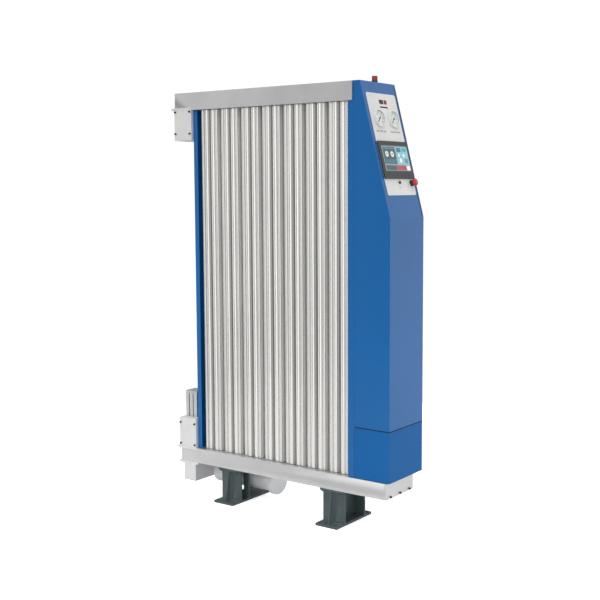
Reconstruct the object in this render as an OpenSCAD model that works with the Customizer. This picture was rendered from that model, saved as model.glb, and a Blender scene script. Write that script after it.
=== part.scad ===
// Modular compressed-air dryer: a bank of extruded desiccant columns clamped
// between two manifold bars, with valve blocks at one end and a control
// cabinet at the other.
// Origin: middle of the footprint, on the floor. +X points at the control
// cabinet, +Y at the back, +Z up.

/* [Columns] */
// Centre distance of neighbouring columns
column_pitch = 127; // [124:1:134]
// Width of one column extrusion
column_w = 106; // [104:1:108]
// Front to back size of one column extrusion
column_d = 181; // [176:1:190]
// Length of one column extrusion
column_h = 1683; // [1300:1:1900]
// Radius of a desiccant chamber's round ends
chamber_r = 19.5; // [17:0.5:20]
// Diameter of the tie rods between the columns
tie_rod_d = 10; // [8:1:12]

/* [Manifolds] */
// Front to back size of both manifold bars
manifold_d = 231; // [220:1:240]
// Height of the lower manifold bar
lower_manifold_h = 74; // [70:1:80]
// Height of the upper manifold bar
upper_manifold_h = 84; // [78:1:90]
// Diameter of the two long flow galleries in each bar
gallery_d = 40; // [34:1:41]
// Thickness of the flat gaskets under and over the columns
gasket_t = 2; // [1:0.5:3]
// Thickness of the adapter plates of the valve blocks
adapter_t = 12; // [10:1:14]

/* [Ports] */
// Bore of the inlet and outlet connections
port_d = 50; // [40:1:52]
// Depth of the inlet and outlet connections
port_depth = 30; // [24:1:34]
// Bolt circle of the pipe flange
port_pcd = 110; // [100:1:116]
// Tapped hole diameter of the pipe flange
port_hole_d = 10.5; // [8.5:0.5:12]

/* [Cabinet] */
// Width of the cabinet over its side walls
cabinet_d = 288; // [280:1:300]
// Sheet thickness of the cabinet
sheet_t = 2; // [1.5:0.5:2.5]
// Height of the console's lower edge above the floor
knee_z = 1419; // [1380:1:1460]
// Height of the joint between the two cabinet covers
cover_joint_z = 482; // [460:1:520]
// Width of the fixed back frame
frame_w = 34; // [28:1:40]

/* [Feet] */
// Height of the feet
foot_h = 172; // [160:1:200]
// Width of the foot plates
foot_w = 121; // [112:1:126]
// Front to back length of the base plates
foot_l = 291; // [280:1:300]
// Thickness of the base and top plates
foot_plate_t = 12; // [10:1:15]
// Diameter of the anchor holes
anchor_d = 14; // [12:1:18]

/* [Hidden] */
columns = 7;
eps = 0.01;
overlap = 1;

// Overall layout along X
left_overhang = 157;
cabinet_w = 221.5;
cabinet_gap = 1.5;
bank_w = columns * column_pitch;
overall_w = left_overhang + bank_w + cabinet_gap + cabinet_w;
lip_x = -overall_w / 2;
bank_x0 = lip_x + left_overhang;
bank_x1 = bank_x0 + bank_w;
cabinet_x0 = bank_x1 + cabinet_gap;
cabinet_x1 = cabinet_x0 + cabinet_w;

// Overall layout along Y: the base plates reach furthest forward and the
// cover hinges furthest back
overall_d = 334;
plate_y0 = -overall_d / 2;
manifold_y0 = plate_y0 + 33;
manifold_y1 = manifold_y0 + manifold_d;
bank_y = (manifold_y0 + manifold_y1) / 2;
cabinet_y0 = manifold_y0 + 4;
cabinet_y1 = cabinet_y0 + cabinet_d;

// Overall layout along Z
lower_z0 = foot_h;
lower_z1 = lower_z0 + lower_manifold_h;
column_z0 = lower_z1 + gasket_t;
column_z1 = column_z0 + column_h;
upper_z0 = column_z1 + gasket_t;
upper_z1 = upper_z0 + upper_manifold_h;
cabinet_z0 = lower_z1 + 1;
cabinet_z1 = upper_z1 + 0.5;

// Manifold bars
lower_x0 = lip_x + 29;
lower_x1 = cabinet_x1 - 22;
upper_x0 = lip_x + 23;
upper_x1 = bank_x1 + 28;
gallery_r = gallery_d / 2;
gallery_dy = 38;
gallery_low_z = lower_z0 + 32;
gallery_high_z = upper_z1 - 34;
bank_port_r = 14;
valve_port_r = 18;
pocket_h = 6;
rod_hole_r = tie_rod_d / 2 + 0.75;
rod_dy = column_d / 2 - 24;
nut_pocket_r = 13;
nut_pocket_h = 12;
end_plate_t = 10;
end_screw_inset = 34;
end_screw_z = lower_z0 + 9;
end_tap_depth = 20;
plug_t = 12;
plug_inset = 2;
plug_socket_r = 8;
plug_socket_h = 6;
strip_w = 26;
strip_inset = 15;
strip_t = 2;

// Column profile: tangent arcs, measured from the crest of a lobe inward
lobe_x = 20;
lobe_r = 13;
valley_drop = 11.5;
dip_x = 34;
dip_drop = 5;
lip_r = 9;
lip_drop = 2;
lip_cx = column_w / 2 - lip_r;
arc_step = 10;
chamber_x = 24;
chamber_y_out = column_d / 2 - 6 - chamber_r;
chamber_y_in = chamber_r + 4;
screw_port_r = 3.4;
screw_port_dy = 55;

// Desiccant bed
strainer_t = 3;
strainer_gap = 0.5;
strainer_hole_r = 4;
strainer_hole_dy = 18;
bed_spring_h = 24;
bed_spring_r = 16.5;
bed_spring_wall = 4;
bed_spring_slot = 2.5;
bed_spring_slots = 3;

// Valve blocks on the left
inlet_x0 = lip_x + 18;
inlet_x1 = bank_x0 - 28;
inlet_cx = (inlet_x0 + inlet_x1) / 2;
inlet_z1 = lower_z1 + 149;
valve_ax = inlet_cx - 3;
valve_dy = 45;
valve_a_y = bank_y - valve_dy;
valve_b_y = bank_y + valve_dy;
block_cover_t = 8;
block_back = 24;
cover_screw_inset = 8;
cover_tap_r = 3.3;
cover_clear_r = 3.5;
cover_screw_d = 6;
cover_screw_len = 20;
inlet_port_z = lower_z1 + 80;
inlet_screw_z = [lower_z1 + 14, lower_z1 + 122];
seat_h = 44;
valve_chamber_r = 26;
valve_chamber_h = 74;
cross_r = 22;
stem_r = 8;
running_gap = 0.05;
poppet_r = 22;
poppet_t = 8;
valve_stroke = 16;
stop_gap = 0.3;
actuator_w = 75;
actuator_h = 121;
actuator_cap_t = 12;
actuator_bore_r = 31.5;
actuator_slot_dx = 13;
actuator_screw_dx = 31;
piston_t = 14;
piston_rest = 60;

outlet_h = 148;
outlet_z0 = upper_z0 - outlet_h;
check_seat_z = upper_z0 - 50;
check_r = 21;
check_t = 6;
check_stem_r = 4;
check_chamber_z = outlet_z0 + 34;
check_guide_z = outlet_z0 + 10;
outlet_port_z = outlet_z0 + 62;
outlet_screw_z = [outlet_z0 + 34, outlet_z0 + 140];

exhaust_x0 = inlet_x0 + 27;
exhaust_w = 78;
exhaust_x1 = exhaust_x0 + exhaust_w;
exhaust_cx = (exhaust_x0 + exhaust_x1) / 2;
exhaust_h = 86;
exhaust_z1 = lower_z0 - adapter_t;
exhaust_z0 = exhaust_z1 - exhaust_h;
exhaust_cover_t = 6;
exhaust_piston_r = 20;
exhaust_chamber_r = 24;
exhaust_poppet_r = 21.5;
exhaust_stem_r = 6;
exhaust_stroke = 10;
exhaust_poppet_t = 6;
exhaust_seat_z = exhaust_z1 - 12;
exhaust_chamber_z = exhaust_z1 - 44;
exhaust_bore_h = 34;
exhaust_cross_r = 14;
exhaust_cross_z = exhaust_z1 - 28;
exhaust_piston_z = exhaust_z0 + 17;
exhaust_piston_t = 8;

silencer_y = bank_y + 79.5;
silencer_z = 95;
silencer_r = 59;
silencer_x1 = exhaust_x1 + 384;
silencer_cap_r = 70;
silencer_cap_t = 24;
silencer_wall = 2.5;
silencer_pipe_r = 13;
silencer_core_wall = 3;
silencer_face_t = 6;
silencer_groove_t = 6;
silencer_core_hole_r = 4;
silencer_core_pitch = 36;
vent_r = 3;
vent_ring_r = 63.5;
vents = 12;

// Feet
foot_left_x = bank_x0 + 176.5;
foot_right_x = bank_x0 + 795;
flange_t = 10;
front_flange_y = manifold_y0 + 31;
right_flange_y = manifold_y0 + 196;
left_flange_y = manifold_y0 + 91;
stiffener_low_y = manifold_y0 - 14;
stiffener_high_y = manifold_y0 + 7;
web_t = 8;
foot_bolt_r = 5;
foot_bolt_inset = 14;
foot_bolt_len = 30;
foot_bolt_head_r = 9.5;
foot_bolt_head_h = 6;
window_dx = 18;
window_r = 11;
window_z = [55, 130];
anchor_dx = 94;
foot_bolt_dx = 48;
anchor_dy = 258;

// Cabinet
console_top_x = cabinet_x1 - 157;
console_rise = cabinet_z1 - knee_z;
console_run = cabinet_x1 - console_top_x;
console_tilt = atan(console_run / console_rise);
frame_x1 = cabinet_x0 + frame_w;
cover_x0 = frame_x1 + 1;
cabinet_mid_y = (cabinet_y0 + cabinet_y1) / 2;
standoff = 12;
standoff_r = 6;
mount_plate_t = 2;
mount_plate_z = [cabinet_z0 + 260, 1820];
plate_face_x = cabinet_x0 + sheet_t + standoff + mount_plate_t;
rail_t = 7;
rail_h = 35;
rail_z = [1180, 1500];
terminals = 12;
terminal_pitch = 12;
pilots = 4;
pilot_pitch = 31;
pilot_base_h = 40;
pilot_body_h = 50;
pilot_coil_h = 25;
tube_r = 4;
pilot_z = 700;
gland_r = 6;
gland_x = cabinet_x0 + 17;
gland_y = cabinet_y1 - 14;
hinge_r = 4.4;
hinge_x = frame_x1 + 0.5;
hinge_y = cabinet_y1 + 4.6;
hinge_len = 60;
hinge_z = [cover_joint_z + 160, 1160, cabinet_z1 - 180];
hinge_pin_r = 2.5;
hinge_gap = 0.3;
hinge_leaf = 24;
hinge_leaf_t = 1.5;
cover_head_r = 5;
cover_head_h = 2.2;

// Console parts: across is measured from the middle of the cabinet, up from
// the console's lower edge
panel_w = 240;
panel_h = 464;
panel_s = 334;
panel_t = 2;
screen_w = 248;
screen_h = 170;
screen_u = 2;
screen_s = 261;
screen_t = 6;
screen_rim = 12;
glass_w = 221;
glass_h = 119;
glass_s = 268;
glass_u = 6;
glass_t = 2.4;
face_gap = 0.04;
gauge_u = [-58, 60];
gauge_s = 450;
gauge_r = 40;
gauge_h = 10;
gauge_body_r = 30.5;
gauge_hole_r = 31;
gauge_dial_r = 36;
button_u = -6;
button_s = 159;
button_r = 6;
estop_u = 96;
estop_s = 156;
estop_r = 16;
estop_collar_r = 14;
estop_collar_h = 12;
estop_head_h = 16;
estop_travel = 4;
estop_hole_r = 11.5;
estop_stem_r = 6;
button_travel = 2;
beacon_r = 14;
beacon_x = console_top_x - beacon_r - 0.5;
beacon_base_h = 8;
beacon_lens_h = 21;

// ---------- general helpers ----------

// Turns and moves a part drawn flat onto the console: its x runs across the
// console, its y up the slope and its z out of it
module on_console(u, s, h = 0)
    translate([cabinet_x1, cabinet_mid_y, knee_z])
        rotate([0, -console_tilt, 0])
            rotate([90, 0, 90])
                translate([u, s, h]) children();

// Box between two corners
module box(lo, hi) translate(lo) cube(hi - lo);

// Cylinder along X from x0 to x1
module bar_x(r, x0, x1, y, z)
    translate([x0, y, z]) rotate([0, 90, 0]) cylinder(r = r, h = x1 - x0, $fn = 64);

// Cylinder along Y from y0 to y1
module bar_y(r, x, y0, y1, z)
    translate([x, y0, z]) rotate([-90, 0, 0]) cylinder(r = r, h = y1 - y0, $fn = 64);

// Cylinder along Z from z0 to z1
module bar_z(r, x, y, z0, z1)
    translate([x, y, z0]) cylinder(r = r, h = z1 - z0, $fn = 64);

// Flat plate with rounded corners, drawn from its middle
module rounded_plate(w, h, t, r)
    linear_extrude(t) {
        square([w - 2 * r, h], center = true);
        square([w, h - 2 * r], center = true);
        for (sx = [-1, 1], sy = [-1, 1])
            translate([sx * (w / 2 - r), sy * (h / 2 - r)]) circle(r = r, $fn = 48);
    }

// Socket head screw along +Z, its head's seat at z = 0
module cap_screw(d, len) {
    head_r = d * 0.8;
    difference() {
        cylinder(r = head_r, h = d, $fn = 48);
        translate([0, 0, d * 0.5]) cylinder(r = d * 0.5, h = d, $fn = 6);
    }
    translate([0, 0, -len]) cylinder(r = d / 2, h = len + eps, $fn = 32);
}

function column_x(i) = bank_x0 + (i + 0.5) * column_pitch;
function arc(cx, cy, r, a0, a1) =
    let (n = max(1, ceil(abs(a1 - a0) / arc_step)))
    [for (k = [0 : n]) let (a = a0 + (a1 - a0) * k / n) [cx + r * cos(a), cy + r * sin(a)]];

// ---------- columns ----------

// Tangent angles and radii of the arcs between lobe, valley, dip and lip
valley_a = 2 * atan(valley_drop / lobe_x);
valley_r = lobe_x / sin(valley_a) - lobe_r;
dip_a = 2 * atan(dip_drop / (dip_x - lobe_x));
dip_r = (dip_x - lobe_x) / sin(dip_a) - lobe_r;
lip_a = 2 * atan((dip_drop - lip_drop) / (lip_cx - dip_x));
dip2_r = (lip_cx - dip_x) / sin(lip_a) - lip_r;

// One quarter of the column's front outline, from the middle of the valley
// to the side wall, with y measured from the crest of the lobes
function quarter() = concat(
    arc(0, valley_r - valley_drop, valley_r, 270, 270 + valley_a),
    arc(lobe_x, -lobe_r, lobe_r, 90 + valley_a, 90 - dip_a),
    arc(dip_x, dip_r - dip_drop, dip_r, 270 - dip_a, 270),
    arc(dip_x, dip2_r - dip_drop, dip2_r, 270, 270 + lip_a),
    arc(lip_cx, -lip_drop - lip_r, lip_r, 90 + lip_a, 0));

function reversed(v) = [for (i = [len(v) - 1 : -1 : 0]) v[i]];
function inner(v) = [for (i = [1 : len(v) - 1]) v[i]];
function thinned(v) = [for (i = [0 : len(v) - 1]) if (i == 0 || norm(v[i] - v[i - 1]) > 0.05) v[i]];
half_front = let (q = thinned(quarter()))
    concat(reversed([for (p = inner(q)) [-p[0], p[1]]]), q);

module column_outline()
    polygon(concat(
        [for (p = half_front) [p[0], column_d / 2 + p[1]]],
        reversed([for (p = half_front) [p[0], -column_d / 2 - p[1]]])));

module chamber_outline(r) {
    for (sx = [-1, 1], sy = [-1, 1]) {
        for (y = [chamber_y_in, chamber_y_out])
            translate([sx * chamber_x, sy * y]) circle(r = r, $fn = 64);
        translate([sx * chamber_x - r, sy > 0 ? chamber_y_in : -chamber_y_out])
            square([2 * r, chamber_y_out - chamber_y_in]);
    }
}

module column(i)
    color("#C9CBCE")
        translate([column_x(i), bank_y, column_z0])
            linear_extrude(column_h)
                difference() {
                    column_outline();
                    chamber_outline(chamber_r);
                    for (sx = [-1, 1], k = [-1 : 1])
                        translate([sx * (lip_cx + 2), k * screw_port_dy]) circle(r = screw_port_r, $fn = 32);
                }

module column_gaskets()
    color("#2B2C2D")
        for (i = [0 : columns - 1], z = [lower_z1, column_z1])
            translate([column_x(i), bank_y, z])
                linear_extrude(gasket_t)
                    difference() {
                        offset_plate();
                        chamber_outline(chamber_r);
                    }

// Gasket outline: a plain rectangle just inside the column's outline
module offset_plate()
    square([column_w - 2, column_d - 2 * valley_drop - 4], center = true);

// Perforated strainers under and over each bed
module bed_strainers()
    color("#8F9396")
        for (i = [0 : columns - 1], z = [column_z0, column_z1 - bed_spring_h - strainer_t])
            translate([column_x(i), bank_y, z])
                linear_extrude(strainer_t)
                    difference() {
                        chamber_outline(chamber_r - strainer_gap);
                        for (sx = [-1, 1], sy = [-1, 1], k = [-1, 0, 1])
                            translate([
                                sx * chamber_x,
                                sy * (chamber_y_in + chamber_y_out) / 2 + k * strainer_hole_dy])
                                circle(r = strainer_hole_r, $fn = 32);
                    }

// Machined springs that hold each bed down: sleeves slotted from both sides
module bed_springs()
    color("#9DA1A5")
        for (i = [0 : columns - 1], sx = [-1, 1], sy = [-1, 1])
            translate([
                column_x(i) + sx * chamber_x,
                bank_y + sy * (chamber_y_in + chamber_y_out) / 2,
                column_z1 - bed_spring_h])
                difference() {
                    cylinder(r = bed_spring_r, h = bed_spring_h, $fn = 48);
                    translate([0, 0, -overlap])
                        cylinder(
                            r = bed_spring_r - bed_spring_wall,
                            h = bed_spring_h + 2 * overlap,
                            $fn = 48);
                    for (k = [1 : bed_spring_slots])
                        rotate(180 * k)
                            translate([
                                -bed_spring_r / 2,
                                -bed_spring_r - overlap,
                                k * bed_spring_h / (bed_spring_slots + 1) - bed_spring_slot / 2])
                                cube([2 * bed_spring_r, 2 * (bed_spring_r + overlap), bed_spring_slot]);
                }

module desiccant_beds()
    color("#E6E2D6")
        for (i = [0 : columns - 1])
            translate([column_x(i), bank_y, column_z0 + strainer_t])
                linear_extrude(column_h - bed_spring_h - 2 * strainer_t)
                    chamber_outline(chamber_r - strainer_gap);

// ---------- manifolds ----------

// Two long galleries, with a port pocket at each chamber and the rod holes
module manifold_cuts(x0, x1, gallery_z, face_z, up) {
    for (sy = [-1, 1]) {
        bar_x(gallery_r, x0, x1, bank_y + sy * gallery_dy, gallery_z);
        for (i = [0 : columns - 1]) {
            bar_z(bank_port_r, column_x(i), bank_y + sy * gallery_dy,
                up ? gallery_z : face_z - overlap, up ? face_z + overlap : gallery_z);
            translate([column_x(i), bank_y + sy * gallery_dy, up ? face_z - pocket_h : face_z - overlap])
                linear_extrude(pocket_h + overlap)
                    square([2 * chamber_x + 20, 2 * bank_port_r + 12], center = true);
        }
    }
    for (i = [1 : columns - 1], sy = [-1, 1])
        bar_z(rod_hole_r, bank_x0 + i * column_pitch, bank_y + sy * rod_dy,
            face_z - 2 * upper_manifold_h, face_z + 2 * upper_manifold_h);
}

module lower_manifold()
    color("#CFD1D3")
        difference() {
            box([lower_x0, manifold_y0, lower_z0], [lower_x1, manifold_y1, lower_z1]);
            box([lower_x0 - overlap, manifold_y0 - overlap, lower_z1 - adapter_t],
                [inlet_x1, manifold_y1 + overlap, lower_z1 + overlap]);
            manifold_cuts(lower_x0 - overlap, lower_x1 + overlap, gallery_low_z, lower_z1, true);
            for (y = [valve_a_y, valve_b_y]) {
                bar_z(valve_port_r, valve_ax, y, gallery_low_z, lower_z1 + overlap);
                bar_z(valve_port_r, exhaust_cx, y, lower_z0 - overlap, gallery_low_z);
            }
            for (i = [1 : columns - 1], sy = [-1, 1])
                bar_z(nut_pocket_r, bank_x0 + i * column_pitch, bank_y + sy * rod_dy,
                    lower_z0 - overlap, lower_z0 + nut_pocket_h);
            foot_bolt_places() bar_z(foot_bolt_r, 0, 0, lower_z0 - overlap, lower_z0 + 22);
            end_screw_places() bar_x(4, lower_x1 - end_tap_depth, lower_x1 + overlap, 0, 0);
        }

module upper_manifold()
    color("#CFD1D3")
        difference() {
            box([upper_x0, manifold_y0, upper_z0], [upper_x1, manifold_y1, upper_z1]);
            box([upper_x0 - overlap, manifold_y0 - overlap, upper_z0 - overlap],
                [inlet_x1, manifold_y1 + overlap, upper_z0 + adapter_t]);
            manifold_cuts(upper_x0 - overlap, upper_x1 + overlap, gallery_high_z, upper_z0, false);
            for (y = [valve_a_y, valve_b_y])
                bar_z(valve_port_r, valve_ax, y, upper_z0 - overlap, gallery_high_z);
            for (i = [1 : columns - 1], sy = [-1, 1])
                bar_z(nut_pocket_r, bank_x0 + i * column_pitch, bank_y + sy * rod_dy,
                    upper_z1 - nut_pocket_h, upper_z1 + overlap);
        }

// Turned plugs that close the open ends of the galleries
module gallery_plug(x0, x1, z)
    for (sy = [-1, 1])
        difference() {
            bar_x(gallery_r - eps, x0, x1, bank_y + sy * gallery_dy, z);
            translate([x0 < 0 ? x0 - eps : x1 - plug_socket_h, bank_y + sy * gallery_dy, z])
                rotate([0, 90, 0]) cylinder(r = plug_socket_r, h = plug_socket_h + eps, $fn = 6);
        }

module gallery_plugs()
    color("#A9ADB1") {
        gallery_plug(lower_x0 + plug_inset, lower_x0 + plug_inset + plug_t, gallery_low_z);
        gallery_plug(upper_x0 + plug_inset, upper_x0 + plug_inset + plug_t, gallery_high_z);
        gallery_plug(upper_x1 - plug_inset - plug_t, upper_x1 - plug_inset, gallery_high_z);
    }

module end_screw_places()
    for (k = [0 : 2])
        translate([0, manifold_y0 + end_screw_inset + k * (manifold_d / 2 - end_screw_inset), end_screw_z])
            children();

// Plate over the gallery ends under the cabinet
module end_plate()
    color("#C4C6C8")
        difference() {
            box([lower_x1, manifold_y0, lower_z0], [lower_x1 + end_plate_t, manifold_y1, lower_z1]);
            end_screw_places() bar_x(4.5, lower_x1 - overlap, lower_x1 + end_plate_t + overlap, 0, 0);
        }

module tie_rods()
    color("#B9BCBF")
        for (i = [1 : columns - 1], sy = [-1, 1])
            bar_z(tie_rod_d / 2, bank_x0 + i * column_pitch, bank_y + sy * rod_dy,
                lower_z0 + 1.5, upper_z1 - 1.5);

module tie_rod_nuts()
    color("#9FA3A7")
        for (i = [1 : columns - 1], sy = [-1, 1], z = [lower_z0 + 3, upper_z1 - nut_pocket_h])
            translate([bank_x0 + i * column_pitch, bank_y + sy * rod_dy, z])
                difference() {
                    cylinder(r = tie_rod_d * 0.98, h = nut_pocket_h - 3, $fn = 6);
                    translate([0, 0, -overlap]) cylinder(r = tie_rod_d / 2, h = nut_pocket_h, $fn = 64);
                }

// Folded cover over the left side of the bank
module end_strip()
    color("#1B62A8")
        difference() {
            box([bank_x0 - strip_w, manifold_y0 + strip_inset, lower_z1 + 1],
                [bank_x0 - 0.5, manifold_y1 - strip_inset, upper_z0 - 1]);
            box([bank_x0 - strip_w + strip_t, manifold_y0 + strip_inset + strip_t, lower_z1],
                [bank_x0 + overlap, manifold_y1 - strip_inset - strip_t, upper_z0]);
        }

// ---------- outlet side ----------

// Adapter plate with the two valve ports, drawn between two heights
module adapter_plate(x0, x1, z, port_x)
    difference() {
        box([x0, manifold_y0, z], [x1, manifold_y1, z + adapter_t]);
        for (y = [valve_a_y, valve_b_y])
            bar_z(valve_port_r, port_x, y, z - overlap, z + adapter_t + overlap);
    }

module adapter_plates()
    color("#BFC2C4") {
        adapter_plate(lip_x, inlet_x1, upper_z0, valve_ax);
        adapter_plate(lip_x, inlet_x1, lower_z1 - adapter_t, valve_ax);
        adapter_plate(lip_x + 14, exhaust_x1 + 18, exhaust_z1, exhaust_cx);
    }

// Places of the four screws on a front cover, drawn looking at the cover
module cover_screw_places(z0, z1)
    for (x = [inlet_x0 + cover_screw_inset, inlet_x1 - cover_screw_inset], z = [z0, z1])
        translate([x, 0, z]) children();

module outlet_block()
    color("#D2D4D5")
        difference() {
            box([inlet_x0, manifold_y0 + block_cover_t, outlet_z0], [inlet_x1, manifold_y1, upper_z0]);
            for (y = [valve_a_y, valve_b_y]) {
                bar_z(valve_port_r, valve_ax, y, check_seat_z - overlap, upper_z0 + overlap);
                bar_z(valve_chamber_r, valve_ax, y, check_chamber_z, check_seat_z);
                bar_z(check_stem_r + running_gap, valve_ax, y, check_guide_z, check_chamber_z + overlap);
            }
            bar_y(cross_r, valve_ax, manifold_y0, manifold_y1 - block_back, outlet_port_z);
            port_cuts(inlet_x0, outlet_port_z);
            cover_screw_places(outlet_screw_z[0], outlet_screw_z[1])
                bar_y(cover_tap_r, 0, manifold_y0, manifold_y0 + block_back, 0);
        }

// Pipe connection in a block's left face: a plain counterbore, the passage
// behind it and four tapped holes on a circle
module port_cuts(x0, z) {
    bar_x(port_d / 2, x0 - overlap, x0 + port_depth, bank_y, z);
    bar_x(cross_r - 2, x0, valve_ax, bank_y, z);
    for (a = [45 : 90 : 315])
        bar_x(port_hole_d / 2, x0 - overlap, x0 + 20,
            bank_y + port_pcd / 2 * cos(a), z + port_pcd / 2 * sin(a));
}

// Valve disc with its guide stem, hanging below its seat: the flow from the
// columns pushes it down
module check_valve(y, drop)
    color("#C8A24A") {
        bar_z(check_r, valve_ax, y, check_seat_z - stop_gap - check_t - drop, check_seat_z - stop_gap - drop);
        bar_z(check_stem_r, valve_ax, y, check_guide_z + 14, check_seat_z - stop_gap - check_t - drop + eps);
    }

// ---------- inlet side ----------

module inlet_valve_block()
    color("#D2D4D5")
        difference() {
            box([inlet_x0, manifold_y0 + block_cover_t, lower_z1], [inlet_x1, manifold_y1, inlet_z1]);
            for (y = [valve_a_y, valve_b_y]) {
                bar_z(valve_port_r, valve_ax, y, lower_z1 - overlap, lower_z1 + seat_h + overlap);
                bar_z(valve_chamber_r, valve_ax, y, lower_z1 + seat_h, lower_z1 + seat_h + valve_chamber_h);
                bar_z(stem_r + running_gap, valve_ax, y, lower_z1 + seat_h, inlet_z1 + overlap);
            }
            bar_y(cross_r, valve_ax, manifold_y0, manifold_y1 - block_back, inlet_port_z);
            port_cuts(inlet_x0, inlet_port_z);
            cover_screw_places(inlet_screw_z[0], inlet_screw_z[1])
                bar_y(cover_tap_r, 0, manifold_y0, manifold_y0 + block_back, 0);
        }

// Front covers of the outlet block and of the inlet valve block
module block_covers()
    color("#D8D9DA")
        for (z = [concat([outlet_z0, upper_z0], outlet_screw_z), concat([lower_z1, inlet_z1], inlet_screw_z)])
            difference() {
                box([inlet_x0, manifold_y0, z[0]], [inlet_x1, manifold_y0 + block_cover_t, z[1]]);
                cover_screw_places(z[2], z[3])
                    bar_y(cover_clear_r, 0, manifold_y0 - overlap, manifold_y0 + block_cover_t + overlap, 0);
            }

// Square profile tube of a pneumatic cylinder with two sensor slots a side
module actuators()
    color("#C6C8CA")
        for (y = [valve_a_y, valve_b_y]) translate([valve_ax, y, inlet_z1])
            linear_extrude(actuator_h)
                difference() {
                    square([actuator_w, actuator_w], center = true);
                    circle(r = actuator_bore_r, $fn = 96);
                    for (a = [0 : 90 : 270], k = [-1, 1])
                        rotate(a) translate([k * actuator_slot_dx, -actuator_w / 2]) {
                            square([5, 6], center = true);
                            translate([0, 2.2]) square([8, 2.2], center = true);
                        }
                    for (sx = [-1, 1], sy = [-1, 1])
                        translate([sx * actuator_screw_dx, sy * actuator_screw_dx]) circle(r = 2.5, $fn = 32);
                }

module actuator_caps()
    color("#8C9094")
        for (y = [valve_a_y, valve_b_y])
            translate([valve_ax, y, inlet_z1 + actuator_h])
                difference() {
                    rounded_plate(actuator_w, actuator_w, actuator_cap_t, 4);
                    translate([0, 0, actuator_cap_t / 2])
                        rotate([-90, 0, 0]) cylinder(r = tube_r, h = actuator_w, $fn = 32);
                    for (sx = [-1, 1], sy = [-1, 1])
                        translate([sx * actuator_screw_dx, sy * actuator_screw_dx, actuator_cap_t - 5])
                            cylinder(r = 4, h = 6, $fn = 32);
                }

// Piston, stem and poppet of a switching valve, lifted off its seat by lift
module inlet_valve(y, lift)
    let (z0 = lower_z1 + seat_h + stop_gap + lift) color("#B4B8BB") {
        bar_z(poppet_r, valve_ax, y, z0, z0 + poppet_t);
        bar_z(stem_r, valve_ax, y, z0 + poppet_t - eps, inlet_z1 + piston_rest + 10 + lift);
        bar_z(actuator_bore_r - running_gap, valve_ax, y,
            inlet_z1 + piston_rest + lift, inlet_z1 + piston_rest + piston_t + lift);
    }

// ---------- exhaust side ----------

module exhaust_block()
    color("#C9CBCD")
        difference() {
            box([exhaust_x0, manifold_y0, exhaust_z0 + exhaust_cover_t],
                [exhaust_x1, manifold_y1, exhaust_z1]);
            for (y = [valve_a_y, valve_b_y]) {
                bar_z(valve_port_r, exhaust_cx, y, exhaust_seat_z - overlap, exhaust_z1 + overlap);
                bar_z(exhaust_chamber_r, exhaust_cx, y, exhaust_chamber_z, exhaust_seat_z);
                bar_z(exhaust_stem_r + running_gap, exhaust_cx, y, exhaust_z0, exhaust_chamber_z + overlap);
                bar_z(exhaust_piston_r, exhaust_cx, y, exhaust_z0, exhaust_z0 + exhaust_bore_h);
            }
            bar_y(exhaust_cross_r, exhaust_cx, valve_a_y, silencer_y, exhaust_cross_z);
            bar_z(silencer_pipe_r - 1, exhaust_cx, silencer_y - 1, silencer_z, exhaust_cross_z);
            bar_x(silencer_pipe_r, exhaust_cx, exhaust_x1 + overlap, silencer_y, silencer_z);
        }

module exhaust_bottom_cover()
    color("#BFC2C4")
        box([exhaust_x0, manifold_y0, exhaust_z0], [exhaust_x1, manifold_y1, exhaust_z0 + exhaust_cover_t]);

// Piston, stem and poppet of an exhaust valve, held drop below its seat
module exhaust_valve(y, drop)
    let (top = exhaust_seat_z - stop_gap - drop, piston_z = exhaust_piston_z - drop) color("#B4B8BB") {
        bar_z(exhaust_poppet_r, exhaust_cx, y, top - exhaust_poppet_t, top);
        bar_z(exhaust_stem_r, exhaust_cx, y, piston_z + overlap, top - exhaust_poppet_t + eps);
        bar_z(exhaust_piston_r - running_gap, exhaust_cx, y, piston_z, piston_z + exhaust_piston_t);
    }

module silencer_shell()
    color("#D9DADB")
        translate([exhaust_x1, silencer_y, silencer_z]) rotate([0, 90, 0])
            rotate_extrude($fn = 96)
                difference() {
                    square([silencer_r, silencer_x1 - exhaust_x1 - silencer_cap_t]);
                    translate([-overlap, silencer_wall])
                        square([silencer_r - silencer_wall + overlap,
                            silencer_x1 - exhaust_x1 - silencer_cap_t]);
                    translate([-overlap, -overlap])
                        square([silencer_pipe_r + overlap, silencer_wall + 2 * overlap]);
                }

// Perforated inner tube, from the inlet pipe to the cap
module silencer_core()
    color("#9EA2A5")
        difference() {
            bar_x(silencer_pipe_r - running_gap, exhaust_x1 - 20,
                silencer_x1 - silencer_cap_t, silencer_y, silencer_z);
            bar_x(silencer_pipe_r - silencer_core_wall, exhaust_x1 - 20 - overlap,
                silencer_x1 - silencer_cap_t + overlap, silencer_y, silencer_z);
            for (k = [0 : 8])
                bar_z(silencer_core_hole_r, exhaust_x1 + 40 + k * silencer_core_pitch, silencer_y,
                    silencer_z - silencer_pipe_r - overlap, silencer_z + silencer_pipe_r + overlap);
        }

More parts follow.
